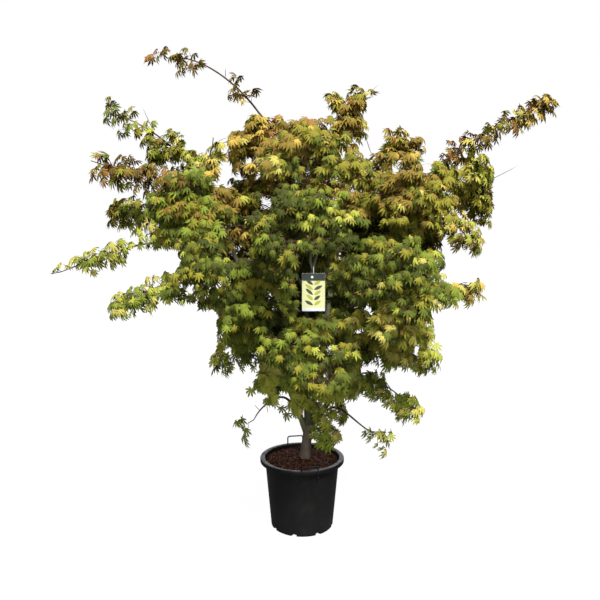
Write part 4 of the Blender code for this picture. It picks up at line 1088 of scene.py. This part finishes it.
class Spray:
    """Gathers one mass's twigs and leaves, by the rule of the solids carried one order finer."""

    def __init__(self, index, row, lines, settings):
        self.row, self.settings = row, settings
        self.rng = np.random.default_rng(settings.seed + 17 * index)
        start, heading, self.inside = socket(lines[row.limb], row.at, row.tip, STEM_RADIUS)
        start = start + heading * GAP
        tip = np.array(row.tip)
        reach = unit(tip - start)
        end = tip - reach * TIP_BLADE * row.blade
        self.space = np.concatenate([bowed(start, heading, end, row.arch, PATH_STEPS), tip[None]])
        arch = row.arch if row.stem_arch is None else row.stem_arch
        fine = bowed(start, heading, end, arch, STEM_STEPS)
        self.path = np.concatenate([fine, (tip - reach * STEM_TIP)[None]])
        share = np.linspace(0, 1, len(self.path))
        self.path[:, 2] += row.lift * (1 - np.exp(-5 * share))
        self.path[:, 0] += row.shift * share
        self.length = np.linalg.norm(np.diff(self.path, axis=0), axis=1).sum()
        self.tints = tuple(HUES[row.hues])
        weights = HUES[row.hues].values()
        self.odds = np.array(tuple(weights)) / sum(weights)
        self.twigs, self.leaves = [], []

    def grow(self):
        """Leaves in tufts on the long thin shoots, and on the others twigs and leaves all along."""
        if self.row.tufts:
            self.grow_tufts()
            if self.row.leafy:
                self.grow_twigs(self.row.leafy, 0)
        else:
            self.grow_twigs(STEM_END, WIDE_FAN if self.row.spread > WIDE else NARROW_FAN)
            self.leaf_stem()
        for name, share, aim, length in BARE_TWIGS:
            if name == self.row.name:
                self.bare_twig(share, aim, length)
        return self

    def shaken(self, amount, count):
        """Random steps, one vector for each of so many twigs or leaves."""
        return self.rng.normal(0, amount, (count, 3))

    def deal(self, count):
        """A tint for each of so many sprays, as often as the hue has it."""
        return self.rng.choice(len(self.tints), count, p=self.odds)

    def within_reach(self, points, spread):
        """Which points lie in the mass's space: nearer its stem than the spread there."""
        foot, span = self.space[:-1], np.diff(self.space, axis=0)
        away = points[:, None] - foot
        t = np.clip((away * span).sum(-1) / (span**2).sum(-1), 0, 1)
        gap = np.linalg.norm(away - t[..., None] * span, axis=-1)
        along = (np.arange(len(span)) + t) / len(span)
        return (gap / (spread * spread_share(along))).min(axis=1) <= 1.0

    def in_sight(self, points):
        """False where a point lies in an opening, but for the share left in it, or shades the label."""
        near = (points[:, 1] - CAMERA_PLACE[1]) / -CAMERA_PLACE[1]
        x = CAMERA_PLACE[0] + (points[:, 0] - CAMERA_PLACE[0]) / near
        z = CAMERA_PLACE[2] + (points[:, 2] - CAMERA_PLACE[2]) / near
        kept = np.ones(len(points), bool)
        for left, low, right, high, share, front in OPENINGS:
            hit = (x > left) & (x < right) & (z > low) & (z < high) & (points[:, 1] < front)
            kept &= ~hit | (self.rng.random(len(points)) < share)
        away = points - LABEL_MIDDLE
        along = away @ TO_LIGHT
        aside = np.linalg.norm(away - along[:, None] * TO_LIGHT, axis=1)
        return kept & ((along < 0.0) | (aside > LABEL_CLEAR))

    def grow_tufts(self):
        """Two short crossed pairs of twigs at each tuft."""
        rng, count = self.rng, 2 * len(self.row.tufts)
        share = np.clip(np.repeat(self.row.tufts, 2) + rng.normal(0, 0.008, count), 0, 1)
        base, along = polyline_at(self.path, share)
        aim = unit(pair_frames(along, count, rng) + TUFT_AIM * along + self.shaken(TUFT_SHAKE, count))
        length = rng.uniform(*TUFT_RANGE, count) * self.row.spread
        self.add_twigs(Twigs(base, aim, length, np.zeros((count, 3)), self.deal(count)), FORK_RADIUS)

    def grow_twigs(self, upto, fan):
        """Side twigs in crossed pairs up to a share of the stem, and a fan of them at its end."""
        row, rng = self.row, self.rng
        gap = self.settings.twig_gap * min(1.0, 0.35 + 2.2 * row.spread) * row.closer
        pairs = max(2, int(self.length * (upto - row.bare) / gap))
        count = 2 * pairs
        share = row.bare + (upto - row.bare) * (np.arange(count) // 2 + 0.5) / pairs
        share = np.clip(share + rng.normal(0, 0.012, count), row.bare, 0.98)
        base, along = polyline_at(self.path, share)
        lean = (TWIG_LEAN + TWIG_LEAN_MORE * share[:, None]) * along
        aim = pair_frames(along, count, rng) + lean + TWIG_RISE * UP
        turn = 2 * np.pi * (np.arange(fan) + rng.uniform(0, 1)) / max(fan, 1)
        end = unit(self.path[-1:] - self.path[-3:-2])
        flat = square_to(UP[None] + 1e-3, end)
        ring = np.cos(turn)[:, None] * np.cross(end, flat) + np.sin(turn)[:, None] * flat
        base = np.concatenate([base, np.repeat(self.path[-2:-1], fan, axis=0)])
        aim = np.concatenate([aim, end + np.resize(FAN_REACH, fan)[:, None] * ring + 0.10 * UP])
        share = np.concatenate([share, np.full(fan, FAN_AT)])
        count += fan
        aim = unit(aim + self.shaken(TWIG_SHAKE, count))
        room = row.spread * spread_share(share) - self.settings.length - 0.3 * self.settings.stalk
        room = room * (1.0 if row.spread > SLENDER else SLENDER_ROOM)
        length = np.maximum(SHORTEST_TWIG, room * rng.uniform(*TWIG_RANGE, count) ** 0.8)
        tint = self.deal(count)
        twigs = Twigs(base, aim, length, self.shaken(TWIG_BEND, count), tint)
        self.add_twigs(twigs, TWIG_RADIUS)
        for at in FORKS:
            for hand in (-1, 1):
                self.fork(twigs, at, hand)

    def fork(self, twigs, at, hand):
        """A second order of twigs, to one hand of most of the long ones."""
        some = (twigs.length > LONG_TWIG) & (self.rng.random(len(twigs.base)) < FORK_ODDS)
        if not some.any():
            return
        twigs, count = twigs.part(some), some.sum()
        here = twigs.at(np.full(count, at))
        aim = unit(FORK_AIM * twigs.aim + hand * twigs.level() + self.shaken(FORK_SHAKE, count))
        length = twigs.length * (1.10 - 0.75 * at) * self.rng.uniform(*FORK_RANGE, count)
        self.add_twigs(Twigs(here, aim, length, self.shaken(TWIG_BEND, count), twigs.tint), FORK_RADIUS)

    def bare_twig(self, share, aim, length):
        """One twig without leaves."""
        base, _ = polyline_at(self.path, np.array([share]))
        twig = Twigs(base, unit(np.array([aim])), np.array([length]), np.zeros((1, 3)), None)
        paths = twig.at(np.linspace(0, 1, TWIG_STEPS)[None], BARE_SAG)
        self.twigs.append((paths, BARE_RADIUS * np.linspace(1, BARE_TAPER, TWIG_STEPS)[None]))

    def add_twigs(self, twigs, radius):
        """Keeps the twigs whose ends stay in the mass's space, and hangs leaves along them."""
        end = twigs.at(np.ones(len(twigs.base)))
        kept = self.within_reach(end, self.row.spread) & self.in_sight(end) & in_box(end, TWIG_MARGIN)
        twigs = twigs.part(kept)
        if not kept.any():
            return
        along = np.ones((len(twigs.base), 1))
        taper = radius * np.linspace(1, TWIG_TAPER, TWIG_STEPS)[None]
        self.twigs.append((twigs.at(np.linspace(0, 1, TWIG_STEPS)[None] * along), taper * along))
        for node in range(TIP_PAIRS):
            spot = 1 - (node * self.settings.node_gap) / twigs.length
            some = spot > FIRST_LEAVES
            if not some.any():
                continue
            here = twigs.part(some)
            base, level = here.at(spot[some]), here.level()
            if node % 2:
                level = 0.75 * np.cross(level, here.aim) + 0.35 * level
            for hand in (-1, 1):
                aim = unit(LEAF_FORWARDS * here.aim + hand * level)
                self.add_leaves(base, aim, here.tint, SHADE_STEP * node)
            if node == 0:
                self.add_leaves(base, here.aim, here.tint, 0.0)

    def leaf_stem(self):
        """Leaves straight on the stem, by pairs, from its bare foot to its tip."""
        bare = self.row.bare
        pairs = max(2, int(self.length * (1 - bare) / (0.8 * self.settings.twig_gap)))
        share = bare + (1.0 - bare) * (np.repeat(np.arange(pairs), 2) + 1.0) / pairs
        base, along = polyline_at(self.path, share)
        aim = unit(pair_frames(along, len(share), self.rng) + STEM_LEAF_FORWARDS * along)
        self.add_leaves(base, aim, self.deal(len(share)), STEM_SHADE)

    def add_leaves(self, base, aim, tint, shade):
        """Leaves on stalks: a blade hangs from its stalk's end and faces outwards, up and to the light.

        shade is the chance that a leaf takes its darker neighbour's tint, which paints shade on it. The
        youngest leaves, on the front of the crown, are the smallest.
        """
        rng, count = self.rng, len(base)
        stalk = self.settings.stalk * rng.uniform(*STALK_RANGE, count)
        stalk_aim = unit(aim + self.shaken(STALK_SHAKE, count) + STALK_RISE * UP)
        root = base + stalk[:, None] * (stalk_aim - STALK_SAG * UP)
        outward = unit((root - CROWN_HEART) * CROWN_FLATNESS)
        axis = AXIS_STALK * stalk_aim + AXIS_OUT * outward - AXIS_DOWN * UP
        axis = unit(axis + self.shaken(AXIS_SHAKE, count))
        lit = np.interp(root[:, 1], FRONT_FADES, (FACE_FRONT, 0.0))[:, None] * TOWARDS_FRONT
        face = FACE_UP * UP + FACE_OUT * outward + lit + self.shaken(FACE_SHAKE, count)
        normal = square_to(face, axis)
        young = np.interp(root[:, 1], YOUNG_FADES, (YOUNG_SIZE, 1))
        size = self.settings.length * rng.uniform(*SIZE_RANGE, count) * young
        other = rng.random(count) < OTHER_TINT
        tint = np.array(self.tints)[np.where(other, self.deal(count), tint)]
        # painted shade: a leaf drawn by this chance takes the darker neighbour of its tint
        dark = rng.random(count) < shade
        tint = np.where(dark, np.array([SHADED[name] for name in tint]), tint)
        tips = root + (TIP_OUT * axis - TIP_DOWN * normal) * size[:, None]
        kept = self.within_reach(tips, self.row.spread * LEAF_REACH)
        for points in (root, tips, (root + tips) / 2):
            kept &= self.in_sight(points)
        kept &= in_box(tips, LEAF_MARGIN)
        leaves = dict(root=root, axis=axis, normal=normal, size=size, tint=tint)
        leaves["stalk"] = np.stack([base, root], axis=1)
        self.leaves.append({key: value[kept] for key, value in leaves.items()})


def stem_path(spray):
    """A mass's own stem, from inside its limb to its last leaves, thinning to its tip."""
    path = np.concatenate([spray.inside[None], spray.path])
    radii = np.linspace(STEM_RADIUS * 0.78, 0.0024, len(spray.path))
    return path, np.concatenate([[STEM_RADIUS * 0.9], radii])


MOST_TRIANGLES = 190000
MOST_LEAVES = 5500  # of 34 triangles each
TWIG_SIDES, STALK_SIDES, STEM_SIDES = 4, 3, 9
STALK_RADIUS = 0.0008
STEM_RELIEF = 0.0004
STEM_SPACING = 0.009


def add_tubes(name, groups, sides, material, slot, nodes, closed_ends=True):
    """Joins groups of tubes into pieces that each stay under the limit on triangles."""
    points, faces = joined(tubes(paths, radii, sides, closed_ends) for paths, radii in groups)
    ring = sides * TWIG_STEPS
    most = MOST_TRIANGLES // 2 // ring * ring
    for k, first in enumerate(range(0, len(faces), most)):
        used, index = np.unique(faces[first : first + most], return_inverse=True)
        piece = add_mesh(f"{name}_{k + 1}", points[used], index.reshape(-1, 4), material)
        fit(piece, PLANT, slot, *nodes)


def make_foliage(lines, young):
    scene = bpy.context.scene
    settings, bark = scene.maple_leaf, scene.maple_bark
    sprays = [Spray(i, row, lines, settings).grow() for i, row in enumerate(MASSES + INNER_SHOOTS)]
    nodes = [row.name for row in MASSES]
    rng = np.random.default_rng(settings.seed)
    twig = bark_material("red_brown_twigs", bark.twig_colour, 0.6, (1, 1, 0.5), 0.0006)
    stalk = bark_material("reddish_leaf_stalks", bark.stalk_colour, 0.7, (1, 1, 1), 0.0003)
    for name, material, thin in (("spray_stems", young, False), ("long_thin_shoots", twig, True)):
        shape = joined(
            barked(*stem_path(spray), STEM_SIDES, STEM_RELIEF, rng, spacing=STEM_SPACING)
            for spray in sprays
            if bool(spray.row.tufts) == thin
        )
        fit(add_mesh(name, *shape, material), PLANT, "maple_bark", *nodes)
    groups = [group for spray in sprays for group in spray.twigs]
    add_tubes("fine_twigs", groups, TWIG_SIDES, twig, "maple_bark", nodes)
    leaves = {
        key: np.concatenate([some[key] for spray in sprays for some in spray.leaves])
        for key in ("root", "axis", "normal", "size", "stalk", "tint")
    }
    stalks = (leaves["stalk"], np.full((len(leaves["stalk"]), 2), STALK_RADIUS))
    add_tubes("leaf_stalks", [stalks], STALK_SIDES, stalk, "maple_foliage", nodes, False)
    for name, colour in TINTS.items():
        some = {key: values[leaves["tint"] == name] for key, values in leaves.items()}
        if not len(some["root"]):
            continue
        material = leaf_material(f"leaf_{name}", colour)
        parts = -(-len(some["root"]) // MOST_LEAVES)
        for k in range(parts):
            share = {key: values[k::parts] for key, values in some.items()}
            points, faces, veins = leaf_blades(share, settings.bend, rng)
            piece = add_mesh(f"maple_leaves_{name}_{k + 1}", points, faces, material, uv=veins)
            fit(piece, PLANT, "maple_foliage", *nodes)


# ---------------------------------------------------------------- label
PRINT_THICKNESS = 0.0003
PRINT_STEP = 0.0001  # by which each print stands in front of the one below it
PRINT_INSET = 0.0005  # of the prints from the card's edges
HEADER_SHARE = 0.20  # of the card's height
STRIP_SHARE = 0.09
CARD_CORNER, HEADER_CORNER, PICTURE_CORNER = 0.004, 0.0036, 0.0004
EYELET_RADIUS = 0.0060
SPRIG_ROWS = 5
SPRIG_FOOT, SPRIG_GAP = 0.012, 0.024  # the first row's height above the strip, and between rows
SPRIG_TURNS, SPRIG_LENGTHS, SPRIG_HALF = (48, 64), (0.036, 0.046), 0.0075
SPRIG_SEED = 5
STRAP_RADIUS = 0.0016
LOOP_PLAY = 0.006  # between the card's depth and the loop's


def rounded_panel(left, low, right, high, corner):
    """The outline of a rectangle with quarter-circle corners, anticlockwise in X and Z."""
    turn = np.linspace(0, np.pi / 2, 8)
    rows = []
    for k, (x, z) in enumerate(((right, high), (left, high), (left, low), (right, low))):
        x -= math.copysign(corner, x - (left + right) / 2)
        z -= math.copysign(corner, z - (low + high) / 2)
        round_it = turn + k * np.pi / 2
        rows.append(np.stack([x + corner * np.cos(round_it), z + corner * np.sin(round_it)], axis=1))
    return np.concatenate(rows)


def plate(name, outline, front, thickness, material):
    """A flat outline in X and Z given a thickness along Y; its two faces are fans round a middle."""
    count = len(outline)
    middle = outline.mean(axis=0)
    sides = (front, front + thickness)
    rims = [np.stack([outline[:, 0], np.full(count, y), outline[:, 1]], axis=1) for y in sides]
    middles = np.array([(middle[0], y, middle[1]) for y in sides])
    k = np.arange(count)
    n = (k + 1) % count
    near = np.stack([k, n, np.full(count, 2 * count)], axis=1)
    far = np.stack([n + count, k + count, np.full(count, 2 * count + 1)], axis=1)
    edge = [np.stack([n, k, k + count], axis=1), np.stack([n, k + count, n + count], axis=1)]
    points, faces = np.concatenate([*rims, middles]), np.concatenate([near, far, *edge])
    fit(add_mesh(name, points, faces, material, smooth=False), PLANT, "printed_label")


def sprig_leaf(centre, turn, length, half):
    """A plain pointed oval in X and Z: two arcs of a sine from stalk to tip."""
    t = np.linspace(0, 1, 12)
    across = half * np.sin(np.pi * t) ** 0.8
    upper = np.stack([t * length, across], axis=1)
    lower = np.stack([t[::-1][1:-1] * length, -across[::-1][1:-1]], axis=1)
    shape = np.concatenate([upper, lower])[::-1]
    spin = np.array(((math.cos(turn), math.sin(turn)), (-math.sin(turn), math.cos(turn))))
    return shape @ spin + centre


def print_material(name, colour, roughness=0.42):
    return Finish(name, colour, roughness).material


def make_label():
    low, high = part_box("label_tag")
    left, right, bottom, front = low.x, high.x, low.z, low.y
    top = bottom + TAG_HEIGHT
    white = print_material("white_label_card", (0.72, 0.73, 0.70))
    header = print_material("dark_green_header", (0.026, 0.036, 0.026), 0.40)
    picture = print_material("pale_yellow_print", (0.66, 0.68, 0.34))
    leaf = print_material("yellow_green_print", (0.42, 0.40, 0.07))
    shade = print_material("olive_print", (0.055, 0.060, 0.030))
    lift = front + PRINT_STEP
    head = top - HEADER_SHARE * TAG_HEIGHT
    strip = bottom + STRIP_SHARE * TAG_HEIGHT
    card = rounded_panel(left, bottom, right, top, CARD_CORNER)
    plate("label_card", card, front + 2 * PRINT_STEP, TAG_THICKNESS - 4 * PRINT_STEP, white)
    for name, foot, end, corner, finish in (
        ("label_header", head, top - PRINT_INSET, HEADER_CORNER, header),
        ("label_picture", strip, head, PICTURE_CORNER, picture),
    ):
        panel = rounded_panel(left + PRINT_INSET, foot, right - PRINT_INSET, end, corner)
        plate(name, panel, lift, PRINT_THICKNESS, finish)
    hole = turns(24)
    spot = np.array((left + 0.44 * TAG_WIDTH, top - 0.10 * TAG_HEIGHT))
    ring = spot + EYELET_RADIUS * np.stack([np.cos(hole), np.sin(hole)], axis=1)
    plate("label_eyelet", ring, lift - PRINT_STEP, PRINT_THICKNESS, white)
    rng = np.random.default_rng(SPRIG_SEED)
    for row in range(SPRIG_ROWS):
        for side in (-1, 1):
            place = left + (0.50 + 0.02 * side) * TAG_WIDTH
            base = np.array((place, strip + (SPRIG_FOOT + SPRIG_GAP * row)))
            turn = math.radians(90 - side * rng.uniform(*SPRIG_TURNS))
            name, finish = ("sprig", leaf) if (row + (side > 0)) % 2 else ("sprig_shade", shade)
            outline = sprig_leaf(base, turn, rng.uniform(*SPRIG_LENGTHS), SPRIG_HALF)
            name = f"label_{name}_{row}_{(side + 1) // 2}"
            plate(name, outline, lift - PRINT_STEP, PRINT_THICKNESS, finish)
    make_label_loop(left + 0.5 * TAG_WIDTH, top, white)


def make_label_loop(middle, top, material):
    """The strap up from the card and the loop round the bough: a flat band along a closed path."""
    low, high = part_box("label_tag")
    half = 0.5 * (high.y - low.y - LOOP_PLAY)
    radius = half - STRAP_RADIUS / 2
    turn = np.linspace(-np.pi / 2, 1.5 * np.pi, 33) + np.pi / 2
    y = high.y - half - radius * np.cos(turn)
    ring = np.stack([np.full(len(turn), middle), y, high.z - radius + radius * np.sin(turn)], axis=1)
    strap = np.array([(middle, low.y + 0.001, top - 0.010), (middle, low.y + 0.002, top + 0.006)])
    path = np.concatenate([strap, ring])
    band = tubes(path[None], np.full((1, len(path)), STRAP_RADIUS), 8)
    fit(add_mesh("label_loop", *band, material), PLANT, "printed_label", "label_tag")


# ---------------------------------------------------------------- stage
FLOOR_HALF = 60.0
FLOOR_DROP = 0.0006  # of the floor below the pot
WHITE = (1.0, 1.0, 1.0, 1.0)


def add_light(name, strength, spread, turn):
    """A distant light: strength, the angle in degrees that it fills, and turn from straight down."""
    light = bpy.data.lights.new(name, "SUN")
    light.energy = strength
    light.angle = math.radians(spread)
    lamp = bpy.data.objects.new(name, light)
    lamp.rotation_euler = turn
    bpy.context.scene.collection.objects.link(lamp)


def make_stage():
    scene = bpy.context.scene
    studio = scene.maple_studio
    square = np.array(((-1, -1), (1, -1), (1, 1), (-1, 1))) * FLOOR_HALF
    corners = np.column_stack([square, np.full(4, -FLOOR_DROP)])
    finish = Finish("pale_studio_floor", studio.floor_colour, 0.9, 0.1)
    finish.inputs["Emission Color"].default_value = WHITE
    finish.inputs["Emission Strength"].default_value = studio.floor_glow
    floor = add_mesh("studio_floor", corners, np.array([(0, 1, 2, 3)]), finish.material, smooth=False)
    floor.visible_diffuse = False
    floor.visible_glossy = False
    world = bpy.data.worlds.new("white_studio")
    world.use_nodes = True
    nodes, links = world.node_tree.nodes, world.node_tree.links
    background = nodes["Background"]
    background.inputs["Color"].default_value = WHITE
    path = nodes.new("ShaderNodeLightPath")
    strength = nodes.new("ShaderNodeMapRange")
    strength.inputs["To Min"].default_value = studio.fill
    strength.inputs["To Max"].default_value = 1.0
    links.new(path.outputs["Is Camera Ray"], strength.inputs["Value"])
    links.new(strength.outputs["Result"], background.inputs["Strength"])
    scene.world = world
    add_light("soft_key", studio.key, 10, KEY_TURN)
    add_light("wide_front", studio.front, 50, (math.radians(70), math.radians(-8), 0.0))
    add_light("wide_back", studio.back, 60, (math.radians(-52), math.radians(10), 0.0))
    camera = bpy.data.cameras.new("front_camera")
    camera.lens = CAMERA_LENS
    camera.sensor_width = 36.0
    camera.clip_end = 200.0
    eye = bpy.data.objects.new("front_camera", camera)
    eye.location = CAMERA_PLACE
    eye.rotation_euler = (math.pi / 2 - CAMERA_TILT, 0.0, 0.0)
    scene.collection.objects.link(eye)
    scene.camera = eye
    scene.view_settings.view_transform = "Standard"


# ---------------------------------------------------------------- operators
class MAPLE_OT_pot(bpy.types.Operator):
    """Build the nursery pot with its rolled rim and drain notches"""

    bl_idname = "maple.pot"
    bl_label = "Pot"

    def execute(self, context):
        make_pot()
        return {"FINISHED"}


class MAPLE_OT_handles(bpy.types.Operator):
    """Build the two lifting handles"""

    bl_idname = "maple.handles"
    bl_label = "Handles"

    def execute(self, context):
        make_handles()
        return {"FINISHED"}


class MAPLE_OT_mulch(bpy.types.Operator):
    """Build the soil and the bark chips on it"""

    bl_idname = "maple.mulch"
    bl_label = "Mulch"

    def execute(self, context):
        make_mulch()
        return {"FINISHED"}


class MAPLE_OT_tree(bpy.types.Operator):
    """Grow the trunk, boughs, twigs and leaves"""

    bl_idname = "maple.tree"
    bl_label = "Tree"

    def execute(self, context):
        missing = {row.name for row in LIMBS + MASSES} - CAD_NODES
        if missing:
            raise RuntimeError(f"the solids have no {sorted(missing)}")
        lines, barks = grow_lines()
        make_foliage(lines, make_limbs(lines, barks))
        return {"FINISHED"}


class MAPLE_OT_label(bpy.types.Operator):
    """Build the hanging label with a plain leaf sprig"""

    bl_idname = "maple.label"
    bl_label = "Label"

    def execute(self, context):
        make_label()
        return {"FINISHED"}


class MAPLE_OT_stage(bpy.types.Operator):
    """Set the floor, the light and the camera"""

    bl_idname = "maple.stage"
    bl_label = "Stage"

    def execute(self, context):
        make_stage()
        return {"FINISHED"}


OPERATORS = (MAPLE_OT_stage, MAPLE_OT_pot, MAPLE_OT_handles, MAPLE_OT_mulch, MAPLE_OT_tree, MAPLE_OT_label)


class MAPLE_PT_panel(bpy.types.Panel):
    """Lists the sizes, the colours and the building steps"""

    bl_idname = "MAPLE_PT_panel"
    bl_label = "Potted Maple"
    bl_space_type = "VIEW_3D"
    bl_region_type = "UI"
    bl_category = "Maple"

    def draw(self, context):
        for name, group in SETTINGS.items():
            box = self.layout.box()
            box.label(text=group.__doc__)
            for setting in group.__annotations__:
                box.prop(getattr(context.scene, name), setting)
        for operator in OPERATORS:
            self.layout.operator(operator.bl_idname)


def register():
    for group in (*SETTINGS.values(), *OPERATORS, MAPLE_PT_panel):
        bpy.utils.register_class(group)
    for name, group in SETTINGS.items():
        setattr(bpy.types.Scene, name, PointerProperty(type=group))


def unregister():
    for name in SETTINGS:
        delattr(bpy.types.Scene, name)
    for group in (MAPLE_PT_panel, *OPERATORS[::-1], *SETTINGS.values()):
        bpy.utils.unregister_class(group)


def main():
    register()
    for operator in OPERATORS:
        group, name = operator.bl_idname.split(".")
        getattr(getattr(bpy.ops, group), name)()


if __name__ == "__main__":
    main()
